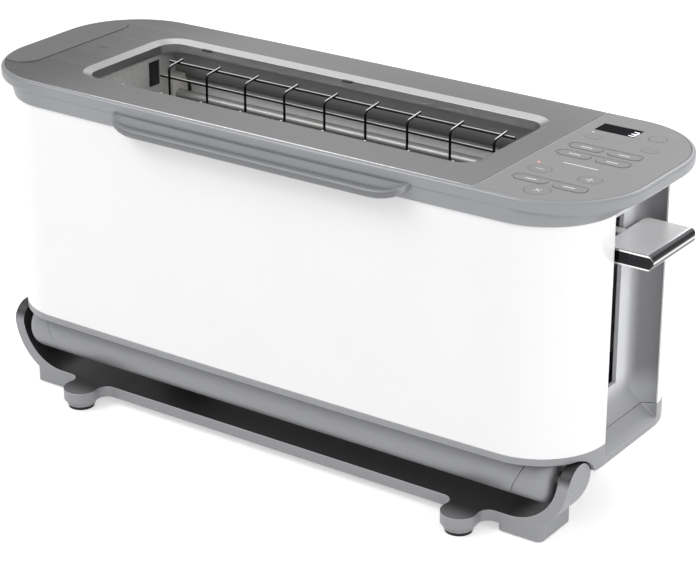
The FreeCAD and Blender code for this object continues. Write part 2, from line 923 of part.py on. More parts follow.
def make_end_cover():
    """Recessed grey end between the two wraps, with the lever slot."""
    fit = seat_gap
    low = panel_bottom + fit
    high = panel_top - fit
    left = channel_x - cover_wall
    reach = 2 * body_half
    skin_part = slab(body_plan, low, high)
    skin_part = skin_part.common(box(left, reach, cover_front + fit, cover_back - fit,
                                     low, high))
    wall = slab(grown(body_plan, -wrap_thickness - fit), low, high)
    wall = wall.common(box(left, reach, cover_front - cover_wall, cover_back + cover_wall,
                           low, high))
    cover = join([skin_part, wall]).cut(channel_tool())
    slot_half = neck_width / 2 + slot_clearance
    slot = rounded_block(channel_x - 2 * cover_wall, channel_x + 2 * cover_wall,
                         mid_y - slot_half, mid_y + slot_half, slot_corner,
                         neck_bottom - lever_travel - slot_clearance,
                         panel_top - channel_roof - slot_corner)
    return cover.cut(slot)


def shell_cut_tools():
    """Room in the lower shell for the ears, the tray front and the right end trough."""
    notch = ear_radius + ear_clearance
    reach = 2 * body_half
    ear_room = bar_x(hub_outer, reach, pivot_setback, pivot_height, notch)
    front_room = box(hub_outer, reach, -reach, pivot_setback, 0, band_bottom)
    rear_room = box(hub_outer, reach, pivot_setback, pivot_setback + notch, 0, pivot_height)
    tools = []
    for room in (ear_room, front_room, rear_room):
        tools.extend(both_sides(room))
    tools.append(channel_tool())
    return tools


def barrel_sector(inner, outer, start, end, x0, x1):
    """Part of a round wall about the flip axis, between two angles."""
    middle = (start + end) / 2
    edges = [
        Part.Arc(around_pivot(outer, start), around_pivot(outer, middle),
                 around_pivot(outer, end)),
        Part.LineSegment(around_pivot(outer, end), around_pivot(inner, end)),
        Part.Arc(around_pivot(inner, end), around_pivot(inner, middle),
                 around_pivot(inner, start)),
        Part.LineSegment(around_pivot(inner, start), around_pivot(outer, start)),
    ]
    return side_profile(edges, x0, x1)


def seam_x(z, margin):
    """Half length of the tray front at a height: it grows shorter towards its lower edge."""
    low = pivot_height - hub_radius
    share = (z - low) / (band_bottom - low)
    return tray_low_half + (tray_top_half - tray_low_half) * share + margin


def tray_zone(margin):
    """Space of the tray front: a slice about the flip axis with slanting ends."""
    reach = 1.5 * hub_radius
    start = tray_crown - math.degrees(margin / hub_radius)
    end = 360.0 + tray_split - math.degrees((tray_clearance - margin) / hub_radius)
    middle = (start + end) / 2
    edges = [
        Part.LineSegment(around_pivot(0, 0), around_pivot(reach, start)),
        Part.Arc(around_pivot(reach, start), around_pivot(reach, middle),
                 around_pivot(reach, end)),
        Part.LineSegment(around_pivot(reach, end), around_pivot(0, 0)),
    ]
    slice_solid = side_profile(edges, -hub_inner, hub_inner)
    low = pivot_height - reach
    high = pivot_height + reach
    ends = [
        Part.LineSegment(xz(-seam_x(low, margin), low), xz(seam_x(low, margin), low)),
        Part.LineSegment(xz(seam_x(low, margin), low), xz(seam_x(high, margin), high)),
        Part.LineSegment(xz(seam_x(high, margin), high), xz(-seam_x(high, margin), high)),
        Part.LineSegment(xz(-seam_x(high, margin), high), xz(-seam_x(low, margin), low)),
    ]
    return slice_solid.common(front_profile(ends, -reach, 2 * reach + pivot_setback))


def make_hub():
    """Right barrel end: a tube closed by a bored disc whose rim is round."""
    disc = bar_x(hub_inner, hub_outer, pivot_setback, pivot_height, hub_radius)
    rim = [edge for edge in disc.Edges if abs(edge.BoundBox.XMin - hub_outer) < 1e-4]
    disc = disc.makeFillet(hub_round, rim)
    tube_start = tray_low_half - tray_clearance
    tube = bar_x(tube_start, hub_inner + past, pivot_setback, pivot_height, hub_radius)
    tube = tube.cut(bar_x(tube_start, hub_inner + past, pivot_setback, pivot_height,
                          hub_radius - barrel_wall))
    return join([disc, tube])


def make_lower_shell():
    """Grey bottom: rim, front strip, bottom plate, barrel wall, hubs, ribs and bosses."""
    reach = 2 * body_half
    wrap_inner = grown(body_plan, -wrap_thickness - seat_gap)
    rim = ring(body_plan, grown(body_plan, -rim_wall), rim_bottom, panel_bottom - seat_gap)
    rim = rim.cut(box(-reach, reach, -reach, pivot_setback, 0, band_bottom))
    tongue = ring(wrap_inner, grown(wrap_inner, -tongue_wall), panel_bottom - tongue_root,
                  panel_bottom + tongue_rise)
    tongue = tongue.cut(end_space(panel_top))
    inside = grown(body_plan, -shell_inset)
    strip = slab(inside, band_bottom, strip_top)
    strip = strip.common(box(-reach, reach, -reach, strip_back, 0, reach))
    bottom_start = pivot_setback + hub_radius - barrel_wall
    bottom = slab(inside, rim_bottom, bottom_top)
    bottom = bottom.common(box(-reach, reach, bottom_start, reach, 0, reach))
    top_turn = math.degrees(math.asin((bottom_top - pivot_height) / hub_radius))
    barrel = barrel_sector(hub_radius - barrel_wall, hub_radius, tray_split, top_turn,
                           -hub_inner, hub_inner)
    cheek = box(hub_inner, hub_outer, pivot_setback, bottom_start + cheek_reach,
                rim_bottom - past, strip_top)
    scoop = slab(inside, rim_bottom, panel_bottom - seat_gap)
    scoop = scoop.common(box(channel_x - cover_wall, reach, cover_front - shell_inset,
                             cover_back + shell_inset, 0, reach))
    pieces = [rim, tongue, strip, bottom, barrel, scoop]
    pieces += both_sides(make_hub())
    pieces += both_sides(cheek)
    for x in (chamber_left - sheet / 2, chamber_right + sheet / 2):
        pieces.append(box(x - rib_half, x + rib_half, pan_back + sheet,
                          body_depth - rim_wall + joined, bottom_top - joined, strip_top))
    for y in rod_ys:
        pieces.append(bar_z(rod_x, y, bottom_top - joined, boss_top,
                            rod_radius + boss_wall))
    for x, y in screw_places:
        pieces.append(bar_z(x, y, bottom_top - joined, strip_top,
                            screw_radius + screw_wall))
    shell = join(pieces)
    tools = shell_cut_tools()
    bore = bar_x(pin_inner - contact_gap, reach, pivot_setback, pivot_height,
                 pin_radius + pin_clearance)
    tools += both_sides(bore)
    tools.append(tray_zone(tray_clearance))
    for y in rod_ys:
        tools.append(bar_z(rod_x, y, rod_foot, boss_top + past, rod_radius + rod_fit))
    for x, y in screw_places:
        tools.append(bar_z(x, y, 0, strip_top + past, screw_radius + screw_hole_fit))
        tools.append(bar_z(x, y, 0, rim_bottom + screw_recess,
                           screw_head + screw_head_fit))
    return cut_all(shell, tools)


def make_screws():
    """Pan screws that hold the end plates to the lower shell."""
    screws = []
    for x, y in screw_places:
        head = bar_z(x, y, rim_bottom, rim_bottom + screw_recess, screw_head)
        shaft = bar_z(x, y, rim_bottom + screw_recess - joined,
                      plate_foot + sheet + screw_tip, screw_radius)
        screws.append(join([head, shaft]))
    return group(screws)


def make_end_plate(x0):
    """Steel plate across one end of the chamber, with screw tabs at its foot."""
    plate = box(x0, x0 + sheet, end_plate_front, end_plate_back, plate_foot, end_plate_top)
    pieces = [plate]
    before = x0 - past
    behind = x0 + sheet + past
    tools = []
    half = tab_width / 2
    for x, y in screw_places:
        if abs(x - x0) > tab_reach + sheet:
            continue
        tab_left = min(x - half + tab_trim, x0)
        tab_right = max(x + half - tab_trim, x0 + sheet)
        pieces.append(box(tab_left, tab_right, min(y - half, end_plate_back - half),
                          y + half - tab_setback, plate_foot, plate_foot + sheet))
        tools.append(bar_z(x, y, plate_foot - past, plate_foot + sheet + past,
                           screw_radius + rod_fit))
    tools.append(box(before, behind, mid_y - rack_rail, mid_y + rack_rail,
                     rack_bottom - lever_travel - rack_slot_margin,
                     rack_bottom + rack_height + rack_slot_margin))
    slot_top = guard_bend - tip_slot_drop
    for side in (-1, 1):
        hinge_y = mid_y + side * guard_offset
        near = hinge_y + side * tip_slot_start
        far = near + side * tip_slot_width
        tools.append(box(before, behind, min(near, far), max(near, far),
                         slot_top - tip_slot_height, slot_top))
        tools.append(bar_x(before, behind, hinge_y, guard_hinge,
                           guard_rail_wire + guard_pivot_fit))
    return cut_all(join(pieces), tools)


def mirrored(piece):
    """The same piece on the other side of the bread slot."""
    return piece.mirror(Vector(0, mid_y, 0), Vector(0, 1, 0))


def make_reflector():
    """Bright sheet behind the rear heater tubes, curved about each of them."""
    near = reflector_radius
    far = reflector_radius + reflector_sheet
    tube_y = mid_y + tube_offset
    flat = tube_y + reflector_flat
    far_flat = flat + reflector_sheet
    top_in = math.sqrt(near ** 2 - reflector_rise ** 2)
    top_out = math.sqrt(far ** 2 - reflector_rise ** 2)
    meet_in = math.sqrt(near ** 2 - reflector_flat ** 2)
    meet_out = math.sqrt(far ** 2 - (reflector_flat + reflector_sheet) ** 2)
    foot = guard_hinge - reflector_foot_drop
    upper = tube_upper
    lower = tube_lower
    edges = [
        Part.Arc(yz(tube_y + top_in, upper + reflector_rise), yz(tube_y + near, upper),
                 yz(flat, upper - meet_in)),
        Part.LineSegment(yz(flat, upper - meet_in), yz(flat, lower + meet_in)),
        Part.Arc(yz(flat, lower + meet_in), yz(tube_y + near, lower),
                 yz(flat, lower - meet_in)),
        Part.LineSegment(yz(flat, lower - meet_in), yz(flat, foot)),
        Part.LineSegment(yz(flat, foot), yz(far_flat, foot)),
        Part.LineSegment(yz(far_flat, foot), yz(far_flat, lower - meet_out)),
        Part.Arc(yz(far_flat, lower - meet_out), yz(tube_y + far, lower),
                 yz(far_flat, lower + meet_out)),
        Part.LineSegment(yz(far_flat, lower + meet_out), yz(far_flat, upper - meet_out)),
        Part.Arc(yz(far_flat, upper - meet_out), yz(tube_y + far, upper),
                 yz(tube_y + top_out, upper + reflector_rise)),
        Part.LineSegment(yz(tube_y + top_out, upper + reflector_rise),
                         yz(tube_y + top_in, upper + reflector_rise)),
    ]
    return side_profile(edges, holder_left + contact_gap, holder_right - contact_gap)


def make_liner():
    """Dark strips that close the chamber from the reflectors up to the top plate."""
    left = chamber_left + contact_gap
    right = chamber_right - contact_gap
    wall_y = mid_y + tube_offset + math.sqrt(reflector_radius ** 2 - reflector_rise ** 2)
    low = tube_upper + reflector_rise + contact_gap
    wall = box(left, right, wall_y, wall_y + reflector_sheet, low, plate_under)
    lap = box(left, right, wall_y, wall_y + liner_lap, plate_under - reflector_sheet,
              plate_under)
    blocks = []
    for x0, x1 in ((left, holder_left + contact_gap), (holder_right - contact_gap, right)):
        blocks.append(box(x0, x1, mid_y, body_depth, 0, tube_upper + holder_rise
                          + contact_gap))
    strip = cut_all(join([wall, lap]), blocks)
    return group([strip, mirrored(strip)])


def make_heaters():
    """Upper and lower quartz tubes of the rear side."""
    tube_y = mid_y + tube_offset
    return group([bar_x(chamber_left + contact_gap, chamber_right - contact_gap, tube_y, z,
                        tube_radius) for z in (tube_upper, tube_lower)])


def make_holders():
    """Ceramic blocks that carry the heater tubes on the end plates."""
    blocks = []
    tube_y = mid_y + tube_offset
    for x0, x1 in ((chamber_left, holder_left), (holder_right, chamber_right)):
        for z in (tube_upper, tube_lower):
            block = box(x0, x1, tube_y - holder_in, tube_y + holder_out, z - holder_drop,
                        z + holder_rise)
            block = block.cut(bar_x(x0 - past, x1 + past, tube_y, z,
                                    tube_radius + tube_fit))
            blocks.append(block)
            blocks.append(mirrored(block))
    return group(blocks)


def make_guard():
    """Rear bread guard: upright wires that lean back at the top, welded to long wires."""
    guard_y = mid_y + guard_offset
    lean = math.atan2(guard_tip_rise, guard_tip_reach)
    arc = guard_bend_radius
    turn = math.pi / 2 - lean
    bend_y = guard_y + arc * (1 - math.cos(turn))
    bend_z = guard_bend - arc + arc * math.sin(turn)
    mid_y_bend = guard_y + arc * (1 - math.cos(turn / 2))
    mid_z_bend = guard_bend - arc + arc * math.sin(turn / 2)
    tip = yz(guard_y + guard_tip_reach, bend_z + (guard_tip_reach + guard_y - bend_y)
             * math.tan(lean))
    foot = yz(guard_y, guard_hinge - guard_foot)
    path = Part.Wire([edge.toShape() for edge in (
        Part.LineSegment(foot, yz(guard_y, guard_bend - arc)),
        Part.Arc(yz(guard_y, guard_bend - arc), yz(mid_y_bend, mid_z_bend),
                 yz(bend_y, bend_z)),
        Part.LineSegment(yz(bend_y, bend_z), tip),
    )])
    section = Part.Wire(Part.makeCircle(guard_wire, foot, Vector(0, 0, 1)))
    upright = path.makePipeShell([section], True, False)
    pieces = []
    for index in range(guard_count):
        wire = upright.copy()
        wire.translate(Vector(guard_first + index * guard_pitch, 0, 0))
        pieces.append(wire)
    left = guard_first - guard_overrun
    right = guard_last + guard_overrun
    weld = guard_wire + guard_rail_wire - guard_weld
    pieces.append(bar_x(chamber_left - guard_pivot_reach, chamber_right + guard_pivot_reach,
                        guard_y, guard_hinge, guard_rail_wire))
    for z in (guard_hinge + guard_mid_rail_rise, guard_bend - guard_top_rail_drop):
        pieces.append(bar_x(left, right, guard_y + weld, z, guard_rail_wire))
    top_y = guard_y + guard_tip_rail_share * guard_tip_reach
    top_z = bend_z + (top_y - bend_y) * math.tan(lean) - weld
    pieces.append(bar_x(left, right, top_y, top_z, guard_rail_wire))
    return join(pieces)


def make_rods():
    """Two guide rods that the carriage slides on."""
    return group([bar_z(rod_x, y, rod_foot, bracket_level + bracket_sheet, rod_radius)
                  for y in rod_ys])


def make_bracket():
    """Shelf on the right end plate that holds the rods' upper ends."""
    front = rod_ys[0] - carriage_side
    back = rod_ys[1] + carriage_side
    start = chamber_right + sheet
    shelf = box(start, spring_x + spring_radius + bracket_lap, front, back, bracket_level,
                bracket_level + bracket_sheet)
    flange = box(start, start + bracket_sheet, front, back, bracket_level - bracket_flange,
                 bracket_level + bracket_sheet)
    holes = [bar_z(rod_x, y, 0, deck_top, rod_radius + rod_fit) for y in rod_ys]
    return cut_all(join([shelf, flange]), holes)


def make_carriage():
    """Carriage plate with a bush on each rod and a lug for the return spring."""
    top = carriage_bottom + carriage_height
    front = rod_ys[0] - carriage_side
    back = rod_ys[1] + carriage_side
    pieces = [box(plate_x, plate_outer, front, back, carriage_bottom, top)]
    for y in rod_ys:
        pieces.append(bar_z(rod_x, y, carriage_bottom, top,
                            rod_radius + rod_clearance + bush_wall))
    pieces.append(box(plate_outer - joined, spring_x + spring_radius, spring_y - spring_radius,
                      spring_y + spring_radius, carriage_bottom, lug_top))
    bores = [bar_z(rod_x, y, 0, deck_top, rod_radius + rod_clearance) for y in rod_ys]
    return cut_all(join(pieces), bores)


def make_spring():
    """Return spring between the carriage lug and the shelf."""
    outer = bar_z(spring_x, spring_y, lug_top, bracket_level, spring_radius)
    return outer.cut(bar_z(spring_x, spring_y, lug_top, bracket_level, spring_bore))


def make_rack():
    """Bread rack: a rail with one finger between each pair of guard wires."""
    rail = box(rack_left, plate_x, mid_y - rack_rail / 2, mid_y + rack_rail / 2,
               rack_bottom, rack_bottom + rack_height)
    pieces = [rail]
    finger_z = rack_bottom + rack_height - 2 * rack_finger_radius
    for index in range(guard_count - 1):
        x = guard_first + (index + 0.5) * guard_pitch
        pieces.append(bar_y(x, mid_y - rack_finger_half, mid_y + rack_finger_half,
                            finger_z, rack_finger_radius))
    return join(pieces)


def make_keeper():
    """Steel keeper under the carriage plate that the magnet holds down."""
    return box(plate_x - keeper_half + keeper_shift, plate_outer + keeper_half, mid_y - keeper_half,
               mid_y + keeper_half, keeper_bottom, carriage_bottom)


def make_magnet():
    """Holding magnet on the bottom plate, just under the lowered keeper."""
    top = keeper_bottom - lever_travel - contact_gap
    return box(plate_x - keeper_half + keeper_shift, plate_outer + keeper_half, mid_y - keeper_half,
               mid_y + keeper_half, bottom_top, top)


def make_paddle():
    """Flat bright lever plate with a round outer edge."""
    half = lever_width / 2
    block = rounded_block(lever_inner, lever_outer + lever_corner, mid_y - half,
                          mid_y + half, lever_corner, lever_bottom, lever_top)
    block = block.makeFillet(lever_round, level_edges(block, lever_top)
                             + level_edges(block, lever_bottom))
    k = lever_nose * (1 - math.sqrt(0.5))
    nose = lever_outer - lever_nose
    edges = [
        Part.LineSegment(xz(lever_inner, lever_bottom), xz(nose, lever_bottom)),
        Part.Arc(xz(nose, lever_bottom), xz(lever_outer - k, lever_bottom + k),
                 xz(lever_outer, lever_bottom + lever_nose)),
        Part.LineSegment(xz(lever_outer, lever_bottom + lever_nose),
                         xz(lever_outer, lever_top - lever_nose)),
        Part.Arc(xz(lever_outer, lever_top - lever_nose),
                 xz(lever_outer - k, lever_top - k), xz(nose, lever_top)),
        Part.LineSegment(xz(nose, lever_top), xz(lever_inner, lever_top)),
        Part.LineSegment(xz(lever_inner, lever_top), xz(lever_inner, lever_bottom)),
    ]
    paddle = block.common(front_profile(edges, mid_y - half, mid_y + half))
    return paddle.common(rounded_block(lever_inner - lever_outer_corner, lever_outer,
                                       mid_y - half, mid_y + half, lever_outer_corner,
                                       lever_bottom, lever_top))


def make_neck():
    """Stem from the carriage plate through the slot to the lever."""
    return box(plate_outer, lever_inner, mid_y - neck_width / 2, mid_y + neck_width / 2,
               neck_bottom, neck_bottom + neck_height)


def make_tray_front():
    """Front of the crumb tray, which is part of the barrel."""
    wall = barrel_sector(hub_radius - barrel_wall, hub_radius, tray_split, tray_crown - 360.0,
                         -hub_inner, hub_inner)
    front = wall.common(tray_zone(0.0))
    web_low = bottom_top - past
    web = box(-pan_half, pan_half, cradle_front + web_setback, pan_front - tray_clearance,
              web_low, web_low + web_height)
    return join([front, web])


def make_tray_pan():
    """Shallow steel pan that catches crumbs under the whole chamber."""
    low = bottom_top + tray_clearance
    pan = box(-pan_half, pan_half, pan_front, pan_back, low, low + pan_wall)
    hollow = box(-pan_half + pan_sheet, pan_half - pan_sheet, pan_front + pan_sheet,
                 pan_back - pan_sheet, low + pan_sheet, low + 2 * pan_wall)
    return pan.cut(hollow)


def make_power_board():
    """Power board on four spacers, with its transformer and two relays."""
    start = chamber_right + sheet
    face = start + power_stand
    top = power_bottom + power_height
    pieces = [box(face, face + board_sheet, power_front, power_back, power_bottom, top)]
    for y in (power_front + spacer_inset, power_back - spacer_inset):
        for z in (power_bottom + spacer_inset, top - spacer_inset):
            pieces.append(bar_x(start, face + joined, y, z, spacer_radius))
    back = face + board_sheet - joined
    front = power_front + transformer_front
    low = power_bottom + transformer_low
    pieces.append(box(back, back + transformer_depth, front, front + transformer_width,
                      low, low + transformer_height))
    front = power_front + relay_front
    for relay_low in relay_lows:
        low = power_bottom + relay_low
        pieces.append(box(back, back + relay_depth, front, front + relay_width, low,
                          low + relay_height))
    return join(pieces)


def cradle_section():
    """Front view of the cradle: a long floor turned up through quarter arcs."""
    outer = cradle_arc + cradle_wall
    inside = cradle_half - cradle_wall
    top = pivot_height + ear_radius
    k = math.sqrt(0.5)
    low_out = arc_z - outer
    return [
        Part.LineSegment(xz(-cradle_half, top), xz(-cradle_half, arc_z)),
        Part.Arc(xz(-cradle_half, arc_z), xz(-arc_x - outer * k, arc_z - outer * k),
                 xz(-arc_x, low_out)),
        Part.LineSegment(xz(-arc_x, low_out), xz(arc_x, low_out)),
        Part.Arc(xz(arc_x, low_out), xz(arc_x + outer * k, arc_z - outer * k),
                 xz(cradle_half, arc_z)),
        Part.LineSegment(xz(cradle_half, arc_z), xz(cradle_half, top)),
        Part.LineSegment(xz(cradle_half, top), xz(inside, top)),
        Part.LineSegment(xz(inside, top), xz(inside, arc_z)),
        Part.Arc(xz(inside, arc_z), xz(arc_x + cradle_arc * k, arc_z - cradle_arc * k),
                 xz(arc_x, floor_top)),
        Part.LineSegment(xz(arc_x, floor_top), xz(-arc_x, floor_top)),
        Part.Arc(xz(-arc_x, floor_top), xz(-arc_x - cradle_arc * k, arc_z - cradle_arc * k),
                 xz(-inside, arc_z)),
        Part.LineSegment(xz(-inside, arc_z), xz(-inside, top)),
        Part.LineSegment(xz(-inside, top), xz(-cradle_half, top)),
    ]


def ear_profile():
    """Side view of the cradle's arms, round about the pivot at the top."""
    front = cradle_front
    back = pivot_setback + ear_radius
    return [
        Part.LineSegment(yz(front, 0), yz(back, 0)),
        Part.LineSegment(yz(back, 0), yz(back, pivot_height)),
        Part.Arc(yz(back, pivot_height), yz(pivot_setback, pivot_height + ear_radius),
                 yz(front, pivot_height)),
        Part.LineSegment(yz(front, pivot_height), yz(front, 0)),
    ]


def make_tab():
    """Round tab over a front foot, led into the cradle's edge by hollow corners."""
    gap = tab_radius + tab_fillet
    rise = cradle_front - tab_fillet - tab_y
    run = math.sqrt(gap * gap - rise * rise)
    touch_x = run * tab_radius / gap
    touch_y = tab_y + rise * tab_radius / gap
    centre = Vector(tab_x - run, cradle_front - tab_fillet, floor_bottom)
    half = (math.pi / 2 + math.atan2(-rise, run)) / 2
    hollow = Vector(centre.x + tab_fillet * math.cos(half),
                    centre.y + tab_fillet * math.sin(half), floor_bottom)
    at = lambda dx, y: Vector(tab_x + dx, y, floor_bottom)
    far = Vector(2 * tab_x - hollow.x, hollow.y, floor_bottom)
    inside = cradle_front + tab_root
    edges = [
        Part.Arc(at(-run, cradle_front), hollow, at(-touch_x, touch_y)),
        Part.Arc(at(-touch_x, touch_y), at(0, tab_y - tab_radius), at(touch_x, touch_y)),
        Part.Arc(at(touch_x, touch_y), far, at(run, cradle_front)),
        Part.LineSegment(at(run, cradle_front), at(run, inside)),
        Part.LineSegment(at(run, inside), at(-run, inside)),
        Part.LineSegment(at(-run, inside), at(-run, cradle_front)),
    ]
    face = Part.Face(Part.Wire([edge.toShape() for edge in edges]))
    return face.extrude(Vector(0, 0, floor_top - floor_bottom))


def make_cradle():
    """Low base: floor, upturned ends with round ears, foot tabs, corner blocks, risers."""
    arms = front_profile(cradle_section(), cradle_front, pivot_setback + ear_radius)
    arms = arms.common(side_profile(ear_profile(), -cradle_half, cradle_half))
    deck = rounded_block(-deck_half, deck_half, cradle_front + deck_lead, deck_back,
                         deck_corner, floor_bottom, floor_top)
    deck = deck.common(box(-deck_half, deck_half, pivot_setback, deck_back, 0, floor_top))
    pieces = [arms, deck]
    block = rounded_block(block_inner, block_outer, cradle_front, block_back, block_corner,
                          block_bottom, floor_top)
    riser = rounded_block(riser_inner, riser_outer, rear_foot_y - riser_lead,
                          rear_foot_y + riser_tail, riser_corner, floor_top - past,
                          riser_top)
    front_cup = bar_z(tab_x, tab_y, foot_height, floor_bottom + past, cup_radius)
    rear_cup = bar_z(tab_x, rear_foot_y, foot_height, floor_bottom + past, cup_radius)
    for piece in (make_tab(), block, riser, front_cup, rear_cup):
        pieces += both_sides(piece)
    cradle = join(pieces)
    tools = []
    half = riser_inner - pocket_gap
    front = cradle_front + pocket_lead
    step_x = 2 * half / pocket_columns
    step_y = (deck_back - pocket_tail - front) / pocket_rows
    for column in range(pocket_columns):
        for row in range(pocket_rows):
            x = column * step_x - half
            y = front + row * step_y
            tools.append(box(x + skin / 2, x + step_x - skin / 2, y + skin / 2,
                             y + step_y - skin / 2, floor_bottom - past,
                             floor_top - skin))
    bore = bar_x(arc_x, cradle_half - pin_skin, pivot_setback, pivot_height,
                 pin_radius + pin_fit)
    tools += both_sides(bore)
    return cut_all(cradle, tools)


def make_feet(y):
    """Rubber feet under the cups at one distance from the front."""
    return group(both_sides(bar_z(tab_x, y, 0, foot_height, foot_radius)))


def make_bumpers():
    """Rubber pads on the risers, just under the closed body."""
    x = (riser_inner + riser_outer) / 2
    pad = bar_z(x, rear_foot_y, riser_top, rim_bottom - contact_gap, bumper_radius)
    return group(both_sides(pad))


def make_pins():
    """Pivot pins fixed in the ears, each with a collar beside the hub."""
    pin = bar_x(pin_inner, cradle_half - pin_skin - pin_fit, pivot_setback, pivot_height,
                pin_radius)
    collar_end = arc_x + math.sqrt(cradle_arc ** 2
                                   - (arc_z - pivot_height + collar_radius) ** 2)
    collar_end -= collar_gap
    collar = bar_x(hub_outer + contact_gap, collar_end, pivot_setback, pivot_height,
                   collar_radius)
    return group(both_sides(join([pin, collar])))


def all_pieces():
    """Every finished piece under its own name."""
    front_panel, rear_panel = make_wraps()
    window, module = make_display()
    reflector = make_reflector()
    heaters = make_heaters()
    guard = make_guard()
    pieces = {
        "base_cradle": make_cradle(),
        "front_feet": make_feet(tab_y),
        "rear_feet": make_feet(rear_foot_y),
        "rest_bumpers": make_bumpers(),
        "pivot_pins": make_pins(),
        "front_panel": front_panel,
        "rear_panel": rear_panel,
        "top_trim": make_trim(),
        "left_grip": make_grip(),
        "top_plate": make_top_plate(),
        "control_panel": make_control_panel(),
        "display_window": window,
        "display_board": module,
        "status_lights": make_lamps(),
        "key_board": make_key_board(),
        "right_end_cover": make_end_cover(),
        "lower_shell": make_lower_shell(),
        "throat_liner": make_liner(),
        "front_reflector": mirrored(reflector),
        "rear_reflector": reflector,
        "left_end_plate": make_end_plate(chamber_left - sheet),
        "right_end_plate": make_end_plate(chamber_right),
        "front_heaters": mirrored(heaters),
        "rear_heaters": heaters,
        "heater_holders": make_holders(),
        "guide_rods": make_rods(),
        "rod_bracket": make_bracket(),
        "latch_magnet": make_magnet(),
        "power_board": make_power_board(),
        "cord_gland": make_gland(),
        "shell_screws": make_screws(),
        "lever_paddle": make_paddle(),
        "lever_neck": make_neck(),
        "carriage_plate": make_carriage(),
        "bread_rack": make_rack(),
        "latch_keeper": make_keeper(),
        "return_spring": make_spring(),
        "front_guard": mirrored(guard),
        "rear_guard": guard,
        "tray_front": make_tray_front(),
        "tray_pan": make_tray_pan(),
    }
    for key in keys:
        pieces[key.name] = make_key(key)
    return pieces


def main():
    """Move every piece so that the origin is under the middle, and write it out."""
    middle_x = (lever_outer - cap_half) / 2
    middle_y = (body_depth + cap_overhang - lip_reach) / 2
    os.makedirs("parts", exist_ok=True)
    for name, shape in all_pieces().items():
        shape.translate(Vector(-middle_x, -middle_y, 0))
        shape.exportStep("parts/" + name + ".step")
        print(name, len(shape.Solids), "solids, valid", shape.isValid(),
              "volume", round(shape.Volume, 1))


main()
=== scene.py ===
"""Finishes, printed marks, studio light and camera for a long-slot toaster that tips forward."""

import logging
import math
from dataclasses import dataclass
from enum import Enum
from typing import Iterable, Optional, Sequence

import bmesh
import bpy
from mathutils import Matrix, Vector

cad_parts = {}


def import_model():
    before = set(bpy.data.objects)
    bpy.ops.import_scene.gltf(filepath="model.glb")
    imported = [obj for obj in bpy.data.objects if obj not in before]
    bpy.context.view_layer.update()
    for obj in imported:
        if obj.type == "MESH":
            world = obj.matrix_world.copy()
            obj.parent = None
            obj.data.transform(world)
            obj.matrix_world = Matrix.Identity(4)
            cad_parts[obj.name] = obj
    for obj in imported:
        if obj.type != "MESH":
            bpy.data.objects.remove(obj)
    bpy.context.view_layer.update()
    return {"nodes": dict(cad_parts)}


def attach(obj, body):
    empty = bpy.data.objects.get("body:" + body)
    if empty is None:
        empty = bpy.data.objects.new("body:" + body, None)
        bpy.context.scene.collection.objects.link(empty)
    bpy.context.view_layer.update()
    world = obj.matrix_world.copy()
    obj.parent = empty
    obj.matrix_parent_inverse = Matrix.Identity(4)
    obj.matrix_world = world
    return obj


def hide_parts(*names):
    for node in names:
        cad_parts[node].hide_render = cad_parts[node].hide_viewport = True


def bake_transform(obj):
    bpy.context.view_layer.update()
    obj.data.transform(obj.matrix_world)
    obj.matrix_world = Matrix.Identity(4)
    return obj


log = logging.getLogger("toaster")

Point = tuple[float, float]
Colour = tuple[float, float, float]
Direction = tuple[float, float, float]
Mesh = bmesh.types.BMesh
Node = bpy.types.Node
Object = bpy.types.Object
Outputs = bpy.types.NodeOutputs
Socket = bpy.types.NodeSocket

MM = 0.001
# The frame's origin in the drawing: right of the body's middle and behind the body's front.
ORIGIN = (3.8, 71.65)
# Heights of the panel's face and of the keys' faces.
DECK = 216.3
KEY_TOP = 216.4
# How far a print stands out of its face, by what share more each further stroke of it does, and
# how deep it is rooted below the face.
PRINT = 0.05
STROKE_STEP = 0.2
ROOT = 0.1
# The angle between two corners of a ring.
RING_TURN = 10.0
# The part of a noise's range that is spread over the whole change of a tone or a gloss.
NOISE = (0.3, 0.7)
UP, DOWN = (0.0, 0.0, 1.0), (0.0, 0.0, -1.0)
LEFT, RIGHT = (-1.0, 0.0, 0.0), (1.0, 0.0, 0.0)
FRONT, BACK = (0.0, -1.0, 0.0), (0.0, 1.0, 0.0)


def place(x: float, y: float, z: float) -> Vector:
    """Turns the drawing's millimetres into the frame's metres.

    Args:
        x: Distance right of the middle of the body.
        y: Distance behind the front of the body.
        z: Height above the counter.

    Returns:
        The same point in the frame.
    """
    return Vector((x - ORIGIN[0], y - ORIGIN[1], z)) * MM


def grey(level: float) -> Colour:
    """Gives a neutral tone."""
    return (level, level, level)


class Along(Enum):
    """The way in which a sheet is brushed, as the scale of its streaks along X, Y and Z."""

    X = (4.0, 900.0, 900.0)
    Z = (900.0, 900.0, 4.0)
    EVEN = (420.0, 420.0, 420.0)


